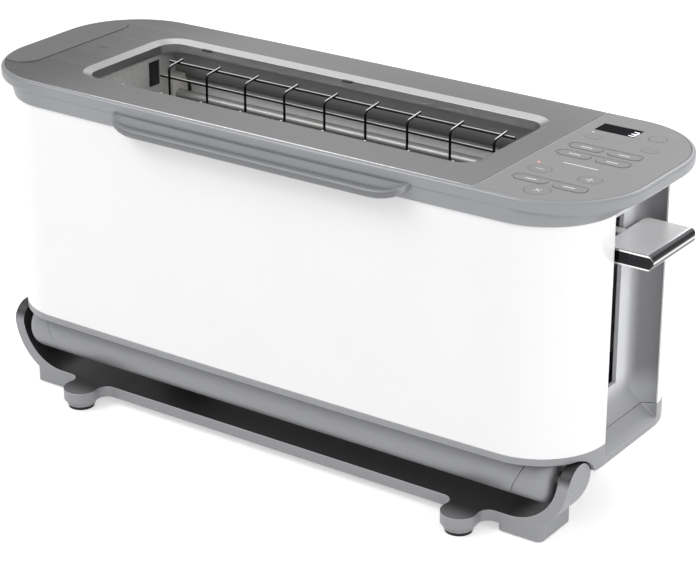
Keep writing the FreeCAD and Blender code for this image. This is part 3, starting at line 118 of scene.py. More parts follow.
class Tree:
    """A shader tree with short calls for nodes, settings and links."""

    def __init__(self, tree: bpy.types.NodeTree) -> None:
        """Keeps the tree that the calls work on."""
        self.tree = tree

    def add(self, kind: str, inputs: Optional[dict] = None, **settings: object) -> Node:
        """Adds a node.

        Args:
            kind: The node's type name.
            inputs: Values or source sockets by input name or number.
            settings: Properties of the node itself.

        Returns:
            The new node.
        """
        node = self.tree.nodes.new(kind)
        for name, value in settings.items():
            setattr(node, name, value)
        for name, value in (inputs or {}).items():
            if isinstance(value, Socket):
                self.link(value, node, name)
            else:
                node.inputs[name].default_value = value
        return node

    def link(self, source: Socket, node: Node, name: object) -> None:
        """Links a socket to an input of a node, by its name or number."""
        self.tree.links.new(source, node.inputs[name])

    def points(self) -> Socket:
        """Gives each point's place in the piece's own frame."""
        return self.add("ShaderNodeTexCoord").outputs["Object"]

    def reckon(self, kind: str, first: object, second: object) -> Socket:
        """Joins two numbers with a math node and returns its result."""
        return self.add("ShaderNodeMath", {0: first, 1: second}, operation=kind).outputs[0]

    def dot(self, first: Socket, second: Socket) -> Socket:
        """Measures one vector along another."""
        return self.add("ShaderNodeVectorMath", {0: first, 1: second},
                        operation="DOT_PRODUCT").outputs["Value"]

    def remap(self, value: Socket, low: object, high: object, to_low: float = 0.0,
              to_high: float = 1.0, smooth: bool = False) -> Socket:
        """Spreads a value between two limits over another range.

        Args:
            value: The value that is changed.
            low: What becomes the new range's start.
            high: What becomes the new range's end.
            to_low: The new range's start.
            to_high: The new range's end.
            smooth: Whether it eases in and out.

        Returns:
            The new value.
        """
        return self.add("ShaderNodeMapRange", {
            "Value": value, "From Min": low, "From Max": high, "To Min": to_low,
            "To Max": to_high},
            interpolation_type="SMOOTHSTEP" if smooth else "LINEAR").outputs[0]

    def between(self, mask: Socket, first: object, second: object) -> Socket:
        """Mixes two numbers by a mask."""
        return self.add("ShaderNodeMix", {0: mask, 2: first, 3: second}).outputs[0]

    def blend(self, mask: Socket, first: object, second: object) -> Socket:
        """Mixes two colours, each a socket or a plain colour, by a mask."""
        pair = [one if isinstance(one, Socket) else (*one, 1.0) for one in (first, second)]
        return self.add("ShaderNodeMix", {"Factor": mask, 6: pair[0], 7: pair[1]},
                        data_type="RGBA").outputs[2]


@dataclass(frozen=True)
class Effect:
    """A node group that several finishes share."""

    name: str
    inputs: tuple[tuple[str, str, object], ...]
    outputs: tuple[tuple[str, str], ...]

    def group(self) -> bpy.types.NodeTree:
        """Builds the group on the first call and finds it on later ones.

        Returns:
            The node group.
        """
        found = bpy.data.node_groups.get(self.name)
        if found is not None:
            return found
        made = bpy.data.node_groups.new(self.name, "ShaderNodeTree")
        for name, kind, value in self.inputs:
            socket = made.interface.new_socket(name, in_out="INPUT", socket_type=kind)
            socket.default_value = value
        for name, kind in self.outputs:
            made.interface.new_socket(name, in_out="OUTPUT", socket_type=kind)
        tree = Tree(made)
        start = tree.add("NodeGroupInput")
        end = tree.add("NodeGroupOutput")
        for name, socket in self.wire(tree, start.outputs).items():
            tree.link(socket, end, name)
        return made

    def use(self, tree: Tree, inputs: dict) -> Outputs:
        """Places the group in a tree with a finish's own values and returns its outputs."""
        return tree.add("ShaderNodeGroup", inputs, node_tree=self.group()).outputs

    def wire(self, tree: Tree, given: Outputs) -> dict[str, Socket]:
        """Makes the inside of the group and returns a socket for each output."""
        raise NotImplementedError


class Grain(Effect):
    """Fine moulded or cast grain, with a slow drift of tone over the surface."""

    DRIFT = 14.0

    def wire(self, tree: Tree, given: Outputs) -> dict[str, Socket]:
        """Makes a fine noise for the height and a slow one for the tone.

        Args:
            tree: The group's tree.
            given: The group's inputs.

        Returns:
            Both noises by output name.
        """
        where = tree.points()
        fine = tree.add("ShaderNodeTexNoise", {
            "Vector": where, "Scale": given["Scale"], "Detail": 2.0, "Roughness": 0.6})
        slow = tree.add("ShaderNodeTexNoise", {
            "Vector": where, "Scale": self.DRIFT, "Detail": 3.0})
        return {"Height": fine.outputs[0], "Slow": slow.outputs[0]}


class Streaks(Effect):
    """Long scratches of a brushed or drawn sheet."""

    BROAD = 0.09
    FINE_SHARE, BROAD_SHARE = 0.7, 0.3

    def wire(self, tree: Tree, given: Outputs) -> dict[str, Socket]:
        """Stretches a fine and a broad noise along the brushing.

        Args:
            tree: The group's tree.
            given: The group's inputs.

        Returns:
            The sum of both noises.
        """
        pulled = tree.add("ShaderNodeVectorMath", {0: tree.points(), 1: given["Stretch"]},
                          operation="MULTIPLY").outputs[0]
        fine = tree.add("ShaderNodeTexNoise", {"Vector": pulled, "Scale": 1.0, "Detail": 4.0})
        broad = tree.add("ShaderNodeTexNoise", {
            "Vector": pulled, "Scale": self.BROAD, "Detail": 2.0})
        return {"Streak": tree.reckon(
            "ADD", tree.reckon("MULTIPLY", fine.outputs[0], self.FINE_SHARE),
            tree.reckon("MULTIPLY", broad.outputs[0], self.BROAD_SHARE))}


class Edge(Effect):
    """Rounds sharp edges for the light and gives a mask of them, where the finishes paint
    highlights.
    """

    FLAT, SHARP = 0.995, 0.82

    def wire(self, tree: Tree, given: Outputs) -> dict[str, Socket]:
        """Compares the rounded normal with the surface's own.

        Args:
            tree: The group's tree.
            given: The group's inputs.

        Returns:
            The rounded normal with its bumps, and the mask of the edges.
        """
        soft = tree.add("ShaderNodeBevel", {"Radius": given["Radius"]}, samples=4).outputs[0]
        bump = tree.add("ShaderNodeBump", {
            "Strength": given["Strength"], "Distance": given["Depth"],
            "Height": given["Height"], "Normal": soft})
        same = tree.dot(soft, tree.add("ShaderNodeNewGeometry").outputs["Normal"])
        return {"Normal": bump.outputs[0], "Mask": tree.remap(same, self.FLAT, self.SHARP)}


class Sweep(Effect):
    """Mask that rises along one direction of the piece."""

    def wire(self, tree: Tree, given: Outputs) -> dict[str, Socket]:
        """Measures the place along the axis and clamps it between two distances."""
        along = tree.dot(tree.points(), given["Axis"])
        return {"Mask": tree.remap(along, given["Start"], given["End"], smooth=True)}


class Facing(Effect):
    """Mask of the surfaces that face one direction of the piece."""

    def wire(self, tree: Tree, given: Outputs) -> dict[str, Socket]:
        """Compares the piece's own normal with the direction."""
        same = tree.dot(tree.add("ShaderNodeTexCoord").outputs["Normal"], given["Toward"])
        return {"Mask": tree.remap(same, given["Low"], given["High"], smooth=True)}


FLOAT, VECTOR = "NodeSocketFloat", "NodeSocketVector"
GRAIN = Grain("moulded_grain", (("Scale", FLOAT, 900.0),), (("Height", FLOAT), ("Slow", FLOAT)))
STREAKS = Streaks("brushed_streaks", (("Stretch", VECTOR, (1.0, 1.0, 1.0)),),
                  (("Streak", FLOAT),))
EDGE = Edge("soft_edge", (("Radius", FLOAT, 0.0004), ("Strength", FLOAT, 0.3),
                          ("Depth", FLOAT, 0.0001), ("Height", FLOAT, 0.5)),
            (("Normal", VECTOR), ("Mask", FLOAT)))
SWEEP = Sweep("place_mask", (("Axis", VECTOR, UP), ("Start", FLOAT, 0.0), ("End", FLOAT, 1.0)),
              (("Mask", FLOAT),))
FACING = Facing("facing_mask", (("Toward", VECTOR, UP), ("Low", FLOAT, 0.0),
                                ("High", FLOAT, 1.0)), (("Mask", FLOAT),))


@dataclass(frozen=True)
class Shade:
    """A painted light or painted shade: a second tone that a finish takes over part of a piece.

    It grows between two distances along an axis, in millimetres, and on the faces that point one
    way, by the cosine. Its preset limits let in every place and every facing.
    """

    colour: Colour
    axis: Direction = UP
    start: float = -2000.0
    end: float = -1000.0
    toward: Direction = UP
    low: float = -3.0
    high: float = -2.0
    rough: Optional[float] = None
    metal: Optional[float] = None

    def mask(self, tree: Tree) -> Socket:
        """Finds where the shade lies.

        Args:
            tree: The material's tree.

        Returns:
            One where the shade is full and zero outside it.
        """
        placed = SWEEP.use(tree, {
            "Axis": self.axis, "Start": self.start * MM, "End": self.end * MM})["Mask"]
        faced = FACING.use(tree, {
            "Toward": self.toward, "Low": self.low, "High": self.high})["Mask"]
        return tree.reckon("MULTIPLY", placed, faced)


@dataclass(frozen=True)
class Finish:
    """What every surface finish has in common."""

    name: str
    colour: Colour
    roughness: float = 0.4
    metallic: float = 0.0
    coat: float = 0.0
    specular: float = 0.5
    # Painted light and painted shade laid over parts of the piece.
    shades: tuple[Shade, ...] = ()

    def material(self) -> bpy.types.Material:
        """Makes the finish's material on the first call and finds it on later ones.

        Returns:
            The material.
        """
        found = bpy.data.materials.get(self.name)
        if found is not None:
            return found
        made = bpy.data.materials.new(self.name)
        made.use_nodes = True
        made.node_tree.nodes.clear()
        tree = Tree(made.node_tree)
        shader = tree.add("ShaderNodeBsdfPrincipled", {
            "Base Color": (*self.colour, 1.0), "Roughness": self.roughness,
            "Metallic": self.metallic, "Coat Weight": self.coat,
            "Specular IOR Level": self.specular})
        end = tree.add("ShaderNodeOutputMaterial", {"Surface": shader.outputs[0]})
        end.is_active_output = True
        self.detail(tree, shader)
        return made

    def tones(self, tree: Tree, drift: Socket, spread: float) -> Socket:
        """Makes the base colour a little darker and lighter with a noise.

        Args:
            tree: The material's tree.
            drift: The noise that drives the change.
            spread: Share of the colour by which it changes each way.

        Returns:
            The colour's socket.
        """
        dark = tuple(part * (1.0 - spread) for part in self.colour)
        light = tuple(min(1.0, part * (1.0 + spread)) for part in self.colour)
        return tree.blend(tree.remap(drift, *NOISE), dark, light)

    def surface(self, tree: Tree, shader: Node, tone: Socket, rough: Socket) -> None:
        """Lays the painted light and shade over a tone and a roughness and links both to the
        shader.

        Args:
            tree: The material's tree.
            shader: The material's shader.
            tone: The colour under the shades.
            rough: The roughness under the shades.
        """
        metal: object = self.metallic
        for shade in self.shades:
            mask = shade.mask(tree)
            tone = tree.blend(mask, tone, shade.colour)
            if shade.rough is not None:
                rough = tree.between(mask, rough, shade.rough)
            if shade.metal is not None:
                metal = tree.between(mask, metal, shade.metal)
                tree.link(metal, shader, "Metallic")
        tree.link(tone, shader, "Base Color")
        tree.link(rough, shader, "Roughness")

    def detail(self, tree: Tree, shader: Node) -> None:
        """Adds what changes over the surface."""
        raise NotImplementedError


@dataclass(frozen=True)
class Textured(Finish):
    """Surface whose tone, gloss and height follow a pattern, with painted highlights along its
    edges.
    """

    edge_radius: float = 0.0004
    # How much lighter the edges are painted: a painted highlight.
    edge_highlight: float = 0.12
    depth: float = 0.00006
    strength: float = 0.25
    spread: float = 0.03
    uneven: float = 0.05

    def pattern(self, tree: Tree) -> tuple[Socket, Socket]:
        """Returns what drives the tone and the gloss, and what drives the height."""
        raise NotImplementedError

    def detail(self, tree: Tree, shader: Node) -> None:
        """Adds the pattern and paints highlights along the edges.

        Args:
            tree: The material's tree.
            shader: The material's shader.
        """
        drift, height = self.pattern(tree)
        edge = EDGE.use(tree, {"Radius": self.edge_radius, "Strength": self.strength,
                               "Depth": self.depth, "Height": height})
        # The painted highlight's colour, which the edge mask lays along the edges.
        light = tuple(min(1.0, part + self.edge_highlight) for part in self.colour)
        tone = tree.blend(edge["Mask"], self.tones(tree, drift, self.spread), light)
        rough = tree.remap(drift, *NOISE, self.roughness - self.uneven,
                           self.roughness + self.uneven)
        self.surface(tree, shader, tone, rough)
        tree.link(edge["Normal"], shader, "Normal")


@dataclass(frozen=True)
class Moulded(Textured):
    """Moulded plastic, enamel, rubber or ceramic with a fine grain."""

    grain: float = 1100.0

    def pattern(self, tree: Tree) -> tuple[Socket, Socket]:
        """Returns the grain's slow drift and its height."""
        grain = GRAIN.use(tree, {"Scale": self.grain})
        return grain["Slow"], grain["Height"]


@dataclass(frozen=True)
class Sheet(Textured):
    """Brushed or rolled metal."""

    metallic: float = 1.0
    depth: float = 0.00003
    spread: float = 0.08
    uneven: float = 0.1
    along: Along = Along.X
    anisotropy: float = 0.0

    def pattern(self, tree: Tree) -> tuple[Socket, Socket]:
        """Returns the streaks, for tone, gloss and height alike."""
        lines = STREAKS.use(tree, {"Stretch": self.along.value})["Streak"]
        return lines, lines

    def detail(self, tree: Tree, shader: Node) -> None:
        """Adds the streaks and the pull of the highlights along the brushing."""
        super().detail(tree, shader)
        shader.inputs["Anisotropic"].default_value = self.anisotropy


@dataclass(frozen=True)
class Coiled(Finish):
    """Clouded quartz tube with the faint turns of a heating wire inside."""

    pitch: float = 2.6
    wire: Colour = (0.18, 0.177, 0.174)
    wire_low: float = 0.55
    wire_high: float = 0.8
    cloud: float = 300.0
    spread: float = 0.05
    dull: float = 1.3
    # The wave texture's own factor between its scale and its bands.
    wave: float = 20.0

    def detail(self, tree: Tree, shader: Node) -> None:
        """Paints the turns along the tube.

        Args:
            tree: The material's tree.
            shader: The material's shader.
        """
        bands = tree.add("ShaderNodeTexWave", {
            "Vector": tree.points(), "Distortion": 0.0,
            "Scale": 2.0 * math.pi / (self.pitch * MM * self.wave)}, bands_direction="X")
        turns = tree.remap(bands.outputs["Fac"], self.wire_low, self.wire_high)
        cloud = GRAIN.use(tree, {"Scale": self.cloud})["Slow"]
        tone = tree.blend(turns, self.tones(tree, cloud, self.spread), self.wire)
        rough = tree.remap(turns, 0.0, 1.0, self.roughness, self.dull * self.roughness)
        self.surface(tree, shader, tone, rough)


@dataclass(frozen=True)
class Glow(Finish):
    """Lit print or lamp with a soft uneven light."""

    light: float = 0.8
    grain: float = 2500.0
    spread: float = 0.06

    def face(self, tree: Tree) -> Socket:
        """Lets the colour drift a little over the face."""
        return self.tones(tree, GRAIN.use(tree, {"Scale": self.grain})["Slow"], self.spread)

    def detail(self, tree: Tree, shader: Node) -> None:
        """Gives the face and its light the same colour.

        Args:
            tree: The material's tree.
            shader: The material's shader.
        """
        tone = self.face(tree)
        tree.link(tone, shader, "Base Color")
        tree.link(tone, shader, "Emission Color")
        shader.inputs["Emission Strength"].default_value = self.light


@dataclass(frozen=True)
class LampPair(Glow):
    """Two light pipes in one finish: warm red in front, white behind."""

    light: float = 0.7
    spread: float = 0.04
    split: float = 15.0
    red: Colour = (1.0, 0.32, 0.27)

    def face(self, tree: Tree) -> Socket:
        """Chooses the colour by how far back the pipe stands.

        Args:
            tree: The material's tree.

        Returns:
            The colour's socket.
        """
        parts = tree.add("ShaderNodeSeparateXYZ", {0: tree.points()})
        back = tree.reckon("GREATER_THAN", parts.outputs["Y"], self.split * MM)
        return tree.blend(back, self.red, super().face(tree))


@dataclass(frozen=True)
class Board(Finish):
    """Printed circuit board with copper tracks under the green lacquer."""

    track: Colour = (0.10, 0.32, 0.16)
    cells: float = 220.0
    track_low: float = 0.5
    track_high: float = 0.56

    def detail(self, tree: Tree, shader: Node) -> None:
        """Draws the tracks from the edges of large cells.

        Args:
            tree: The material's tree.
            shader: The material's shader.
        """
        cells = tree.add("ShaderNodeTexVoronoi", {"Vector": tree.points(), "Scale": self.cells},
                         distance="MANHATTAN", feature="F1")
        lines = tree.remap(cells.outputs["Distance"], self.track_low, self.track_high)
        tree.link(tree.blend(lines, self.colour, self.track), shader, "Base Color")


SATIN_GREY = (0.31, 0.313, 0.327)
WHITE_ENAMEL = Moulded("white_gloss", (0.965, 0.966, 0.972), roughness=0.2, edge_highlight=0.02,
                       coat=0.5, grain=260.0, depth=0.00001, strength=0.1, spread=0.008,
                       uneven=0.02)
# Painted shade darkens the trim towards its left end and on its front lip.
TRIM_SATIN = Moulded("trim_satin", (0.308, 0.313, 0.328), roughness=0.36, metallic=0.2,
                     edge_highlight=0.05,
                     shades=(Shade((0.2, 0.202, 0.211), axis=LEFT, start=150.0, end=235.0),
                             Shade((0.19, 0.193, 0.203), axis=FRONT, start=77.5, end=81.0)))
SHELL_SATIN = Moulded("shell_satin", SATIN_GREY, roughness=0.38, metallic=0.2,
                      edge_radius=0.0009, edge_highlight=0.2)
TRAY_SATIN = Moulded("tray_satin", (0.32, 0.323, 0.336), roughness=0.42, metallic=0.2,
                     edge_radius=0.0006, edge_highlight=0.14)
# The light tone is painted light on the end cover's recess. Painted shade darkens it towards the
# back, and towards the bottom it fades to the shell's grey.
COVER_PAINTED_LIGHT_AND_SHADE = Moulded("cover_painted_light_and_shade", (0.72, 0.725, 0.75), roughness=0.3,
                      shades=(Shade((0.155, 0.155, 0.163), axis=BACK, start=17.0, end=33.0),
                              Shade(SATIN_GREY, axis=DOWN, start=-84.0, end=-66.0)))
# Painted shade: upward faces darker, a near-black painted shadow on the floor under the body, and
# near-black inner walls at both ends.
CRADLE_SATIN = Moulded("cradle_satin", SATIN_GREY, roughness=0.4, metallic=0.2,
                       edge_radius=0.0012, edge_highlight=0.24,
                       shades=(Shade((0.21, 0.21, 0.217), toward=UP, low=0.9, high=0.99),
                               Shade((0.022, 0.022, 0.024), axis=BACK, start=-83.0,
                                     end=-64.0, toward=UP, low=0.1, high=0.6),
                               *(Shade((0.03, 0.03, 0.033), axis=end, start=150.0, end=151.0,
                                       toward=inward, low=0.4, high=0.8)
                                 for end, inward in ((LEFT, RIGHT), (RIGHT, LEFT)))))
PANEL_MATT = Moulded("panel_matt", grey(0.236), roughness=0.45, edge_radius=0.0003,
                     edge_highlight=0.1, grain=1500.0, spread=0.02)
KEY_MATT = Moulded("key_matt", grey(0.218), roughness=0.42, edge_radius=0.0003,
                   edge_highlight=0.06, grain=1500.0, spread=0.02)
# Painted shade darkens the left end; painted highlights light the left and rear bevels and a thin
# line along the straight front edge.
PLATE_BRUSHED = Sheet("plate_brushed", (0.195, 0.195, 0.197), roughness=0.36, edge_highlight=0.08,
                      uneven=0.07, spread=0.07, anisotropy=0.5,
                      shades=(Shade((0.092, 0.092, 0.093), axis=LEFT, start=110.0, end=205.0),
                              Shade(grey(0.42), toward=RIGHT, low=0.15, high=0.3),
                              Shade(grey(0.62), toward=(0.1, -0.995, 0.0), low=0.15, high=0.3),
                              Shade(grey(0.85), axis=FRONT, start=69.9, end=70.5)))
# Its dark tone is painted shade, the same as on the plate's left end.
GRIP_MATT = Sheet("grip_matt", (0.138, 0.138, 0.141), roughness=0.42, uneven=0.05, spread=0.05,
                  edge_highlight=0.3)
CHAMBER_DULL = Sheet("chamber_dull", (0.62, 0.62, 0.61), roughness=0.5, metallic=0.45,
                     along=Along.EVEN, spread=0.12, edge_highlight=0.2)
# Painted light: a matt near-white tone on the reflectors. Painted shade darkens their tops, from
# 183 mm up to full at 189 mm.
REFLECTOR_PAINTED_LIGHT_AND_SHADE = Sheet("reflector_painted_light_and_shade", (0.96, 0.96, 0.955), roughness=0.34, metallic=0.0,
                         uneven=0.08, spread=0.03, edge_highlight=0.03,
                         shades=(Shade(grey(0.10), start=183.0, end=189.0),))
# Painted shade darkens the liner towards the bottom, from 201 mm down to full at 187 mm.
LINER_DULL = Sheet("liner_dull", grey(0.46), roughness=0.45, metallic=0.5, spread=0.12,
                   edge_highlight=0.2,
                   shades=(Shade(grey(0.13), axis=DOWN, start=-201.0, end=-187.0),))
# Painted reflections: a near-black base with painted light on the top (dimmer to the right), the
# underside and the nose's flat. A painted highlight runs round the edges, and bright strips frame
# the front face.
CHROME = Sheet("chrome_painted_reflection", (0.022, 0.022, 0.024), roughness=0.1, along=Along.EVEN,
               uneven=0.02, spread=0.01, edge_radius=0.0009, edge_highlight=0.85, depth=0.000004,
               shades=(Shade(grey(0.98), toward=UP, low=0.95, high=0.99, rough=0.3, metal=0.1),
                       Shade((0.72, 0.72, 0.73), axis=RIGHT, start=200.0, end=232.0, toward=UP,
                             low=0.95, high=0.99),
                       Shade(grey(0.80), toward=DOWN, low=0.9, high=0.98),
                       Shade((0.60, 0.60, 0.61), toward=RIGHT, low=0.993, high=0.999),
                       *(Shade(grey(0.92), axis=side, start=start, end=end, toward=FRONT,
                               low=0.6, high=0.9)
                         for side, start, end in ((UP, 176.6, 176.9), (DOWN, -169.8, -169.5),
                                                  (LEFT, -206.0, -205.5)))))
# Near black with a painted highlight on the faces that point up.
WIRE = Sheet("wire_painted_highlight", grey(0.02), roughness=0.3, uneven=0.05, spread=0.06,
             edge_radius=0.0001, edge_highlight=0.0,
             shades=(Shade(grey(0.8), toward=UP, low=0.7, high=0.95),))
ROD_STEEL = Sheet("rod_ground", grey(0.55), roughness=0.22, along=Along.Z, uneven=0.06,
                  spread=0.06, edge_highlight=0.1)
SCREW_STEEL = Sheet("screw_zinc", (0.5, 0.5, 0.49), roughness=0.3, along=Along.EVEN,
                    uneven=0.08, edge_highlight=0.1)
SPRING_STEEL = Sheet("spring_wire", (0.45, 0.45, 0.46), roughness=0.3, along=Along.EVEN,
                     uneven=0.08, edge_highlight=0.1)
RUBBER = Moulded("foot_rubber", grey(0.012), roughness=0.75, edge_highlight=0.02, grain=900.0,
                 depth=0.00012, strength=0.5, spread=0.2)
CERAMIC = Moulded("heater_ceramic", (0.70, 0.68, 0.63), roughness=0.7, edge_highlight=0.06,
                  grain=700.0, depth=0.0001, strength=0.5, spread=0.06)
# Painted highlight on the tube's upper front faces.
QUARTZ = Coiled("quartz_tube", (0.2, 0.197, 0.194), roughness=0.3, coat=0.2, metallic=0.35,
                shades=(Shade((0.42, 0.415, 0.41), toward=(0.0, -0.6, 0.8), low=0.6,
                              high=0.95),))
GLASS_SMOKED = Moulded("window_smoked", (0.021, 0.021, 0.024), roughness=0.45,
                       edge_highlight=0.02, specular=0.0, grain=120.0, depth=0.000005,
                       strength=0.05, spread=0.05, uneven=0.02)
BOARD_GREEN = Board("board_lacquer", (0.03, 0.15, 0.07), roughness=0.3, coat=0.3)
LAMPS = LampPair("lamp_pipes", (0.42, 0.42, 0.44), roughness=0.3)
PRINT_WHITE = Glow("print_white", (0.62, 0.62, 0.63), roughness=0.45, light=0.05)
PRINT_FAINT = Glow("print_faint", (0.34, 0.34, 0.35), roughness=0.5, light=0.01)
# Dark print for the plate's dash; on the screw drives and the liner clips it is painted shade of
# their recesses and notches.
DARK_PRINT_AND_SHADE = Moulded("dark_print_and_painted_shade", (0.05, 0.05, 0.055), roughness=0.5, edge_highlight=0.02,
                     spread=0.05)
BAR_LIGHT = Glow("bar_light", grey(0.72), light=0.12)
DIGIT_LIGHT = Glow("digit_light", (0.80, 0.80, 1.0), light=1.1)


def dress(nodes: dict[str, Object], finish: Finish, names: Iterable[str]) -> None:
    """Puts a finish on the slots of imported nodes.

    Args:
        nodes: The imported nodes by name.
        finish: The finish that they get.
        names: The nodes that get it.
    """
    for name in names:
        piece = nodes[name]
        if not piece.material_slots:
            piece.data.materials.append(None)
        for slot in piece.material_slots:
            slot.material = finish.material()
        log.info("%s: %s", name, finish.name)


def add_piece(name: str, mesh: Mesh, finish: Finish, smooth: bool = False) -> Object:
    """Turns a finished bmesh into an object with a finish and a material slot.

    Args:
        name: The piece's name.
        mesh: The shape, in metres, which is freed here.
        finish: The finish that the piece gets.
        smooth: Whether the faces are shaded smooth.

    Returns:
        The new object.
    """
    bmesh.ops.recalc_face_normals(mesh, faces=mesh.faces)
    data = bpy.data.meshes.new(name)
    mesh.to_mesh(data)
    mesh.free()
    if smooth:
        data.polygons.foreach_set("use_smooth", [True] * len(data.polygons))
    data.materials.append(finish.material())
    piece = bpy.data.objects.new(name, data)
    bpy.context.scene.collection.objects.link(piece)
    log.info("%s: %s, %d faces", name, finish.name, len(data.polygons))
    return piece


def stand(index: int) -> float:
    """Lets each further stroke of a print stand out more, so that no two faces coincide."""
    return PRINT * (1 + STROKE_STEP * index)


def pill_points(x: float, y: float, length: float, width: float, turn: float = 0.0,
                steps: int = 6) -> list[Point]:
    """Outline of a bar with round ends.

    Args:
        x: Middle of the bar, across.
        y: Middle of the bar, front to back.
        length: Whole length.
        width: Whole width.
        turn: Angle from the X direction, in degrees.
        steps: Corners in each round end.

    Returns:
        The outline's points in order.
    """
    half = max(0.0, (length - width) / 2)
    cosine, sine = math.cos(math.radians(turn)), math.sin(math.radians(turn))
    points = []
    for side in (1, -1):
        for step in range(steps + 1):
            angle = math.pi * (step / steps - 0.5) + (0 if side > 0 else math.pi)
            u = side * half + width / 2 * math.cos(angle)
            v = width / 2 * math.sin(angle)
            points.append((x + u * cosine - v * sine, y + u * sine + v * cosine))
    return points


def add_prism(mesh: Mesh, points: Sequence[Point], low: float, high: float) -> None:
    """Adds an upright prism over an outline.

    Args:
        mesh: The shape that it is added to.
        points: The outline's points in order.
        low: Height of its underside.
        high: Height of its face.
    """
    bottom = [mesh.verts.new(place(x, y, low)) for x, y in points]
    top = [mesh.verts.new(place(x, y, high)) for x, y in points]
    mesh.faces.new(bottom[::-1])
    mesh.faces.new(top)
    count = len(points)
    for index in range(count):
        after = (index + 1) % count
        mesh.faces.new((bottom[index], bottom[after], top[after], top[index]))


def add_ring(mesh: Mesh, middle: Point, radius: float, width: float, low: float,
             high: float, start: float = 0.0, sweep: float = 360.0, squeeze: float = 1.0) -> None:
    """Adds a flat ring, or part of one, round a middle.

    Args:
        mesh: The shape that it is added to.
        middle: Middle of the ring.
        radius: Mean radius across.
        width: Width of the line.
        low: Height of its underside.
        high: Height of its face.
        start: Angle at which it starts, in degrees.
        sweep: How far it goes round, in degrees.
        squeeze: Share of the radius that it has front to back.
    """
    steps = int(sweep / RING_TURN)
    closed = sweep >= 360.0
    rows = []
    for step in range(steps if closed else steps + 1):
        angle = math.radians(start + sweep * step / steps)
        row = []
        for reach, z in ((radius - width / 2, low), (radius + width / 2, low),
                         (radius + width / 2, high), (radius - width / 2, high)):
            row.append(mesh.verts.new(place(middle[0] + reach * math.cos(angle),
                                            middle[1] + reach * math.sin(angle) * squeeze, z)))
        rows.append(row)
    pairs = list(zip(rows, rows[1:])) + ([(rows[-1], rows[0])] if closed else [])
    for first, second in pairs:
        for side in range(4):
            after = (side + 1) % 4
            mesh.faces.new((first[side], first[after], second[after], second[side]))
    if not closed:
        mesh.faces.new(rows[0])
        mesh.faces.new(rows[-1][::-1])


def add_tube(mesh: Mesh, path: Sequence[Vector], radius: float, sides: int = 6) -> None:
    """Adds a round wire along a path.

    Args:
        mesh: The shape that it is added to.
        path: The points that the wire follows, in metres.
        radius: The wire's radius, in metres.
        sides: Corners round the wire.
    """
    rings = []
    across = Vector(UP)
    for index, point in enumerate(path):
        before = path[max(0, index - 1)]
        after = path[min(len(path) - 1, index + 1)]
        ahead = (after - before).normalized()
        side = ahead.cross(across).normalized()
        up = side.cross(ahead)
        rings.append([mesh.verts.new(point + radius * (
            math.cos(2 * math.pi * n / sides) * side + math.sin(2 * math.pi * n / sides) * up))
            for n in range(sides)])
    for first, second in zip(rings, rings[1:]):
        for n in range(sides):
            after = (n + 1) % sides
            mesh.faces.new((first[n], first[after], second[after], second[n]))
    mesh.faces.new(rings[0][::-1])
    mesh.faces.new(rings[-1])


@dataclass
class Housing:
    """The tipping body: white wraps, grey lower shell, barrel and end cover."""

    nodes: dict[str, Object]
    screws: tuple[Point, ...] = ((-174.0, 60.0), (-174.0, 100.0), (141.0, 146.0),
                                 (-158.0, 146.0))
    screw_face: float = 43.0
    cross_length: float = 3.8
    cross_width: float = 0.7

    def add_drives(self) -> None:
        """Paints the cross drive on the underside of each screw head as a dark cross: painted
        shade of its recess.
        """
        mesh = bmesh.new()
        for x, y in self.screws:
            for index, turn in enumerate((0.0, 90.0)):
                add_prism(mesh, pill_points(x, y, self.cross_length, self.cross_width, turn),
                          self.screw_face - stand(index), self.screw_face + ROOT)
        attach(add_piece("screw_drives", mesh, DARK_PRINT_AND_SHADE), "housing")

    def build(self) -> None:
        """Dresses the shell and paints the shade of the screws' cross drives."""
        dress(self.nodes, WHITE_ENAMEL, ("front_panel", "rear_panel"))
        dress(self.nodes, SHELL_SATIN, ("lower_shell",))
        dress(self.nodes, COVER_PAINTED_LIGHT_AND_SHADE, ("right_end_cover",))
        dress(self.nodes, RUBBER, ("cord_gland", "rest_bumpers"))
        dress(self.nodes, SCREW_STEEL, ("shell_screws",))
        self.add_drives()


@dataclass
class Deck:
    """The top: satin trim, brushed plate, finger grip and its small marks."""

    nodes: dict[str, Object]
    dash: tuple[float, float, float, float, float] = (-184.9, 80.8, 7.6, 1.8, 4.0)
    dash_root: float = 0.6
    # The liner clips are dark tabs: painted shade of their notches.
    clips: tuple[Point, ...] = ((-128.8, 119.2), (-16.8, 119.2))
    clip_size: Point = (7.6, 1.8)
    clip_low: float = DECK - 3.0
    clip_high: float = DECK - 1.7

    def build(self) -> None:
        """Dresses the deck and adds the dash and the two liner clips, the clips dark as painted
        shade of their notches.
        """
        dress(self.nodes, TRIM_SATIN, ("top_trim",))
        dress(self.nodes, PLATE_BRUSHED, ("top_plate",))
        dress(self.nodes, GRIP_MATT, ("left_grip",))
        mesh = bmesh.new()
        add_prism(mesh, pill_points(*self.dash), DECK - self.dash_root, DECK + PRINT)
        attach(add_piece("plate_dash", mesh, DARK_PRINT_AND_SHADE), "housing")
        mesh = bmesh.new()
        for x, y in self.clips:
            add_prism(mesh, pill_points(x, y, *self.clip_size), self.clip_low, self.clip_high)
        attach(add_piece("liner_clips", mesh, DARK_PRINT_AND_SHADE), "housing")


@dataclass(frozen=True)
class Stroke:
    """One bar of a sign: its size, its turn and its place from the sign's middle."""

    length: float = 5.4
    width: float = 0.75
    turn: float = 0.0
    right: float = 0.0
    back: float = 0.0

    def outline(self, x: float, y: float) -> list[Point]:
        """Gives the bar's outline for a sign that stands at x and y."""
        return pill_points(x + self.right, y + self.back, self.length, self.width, self.turn)


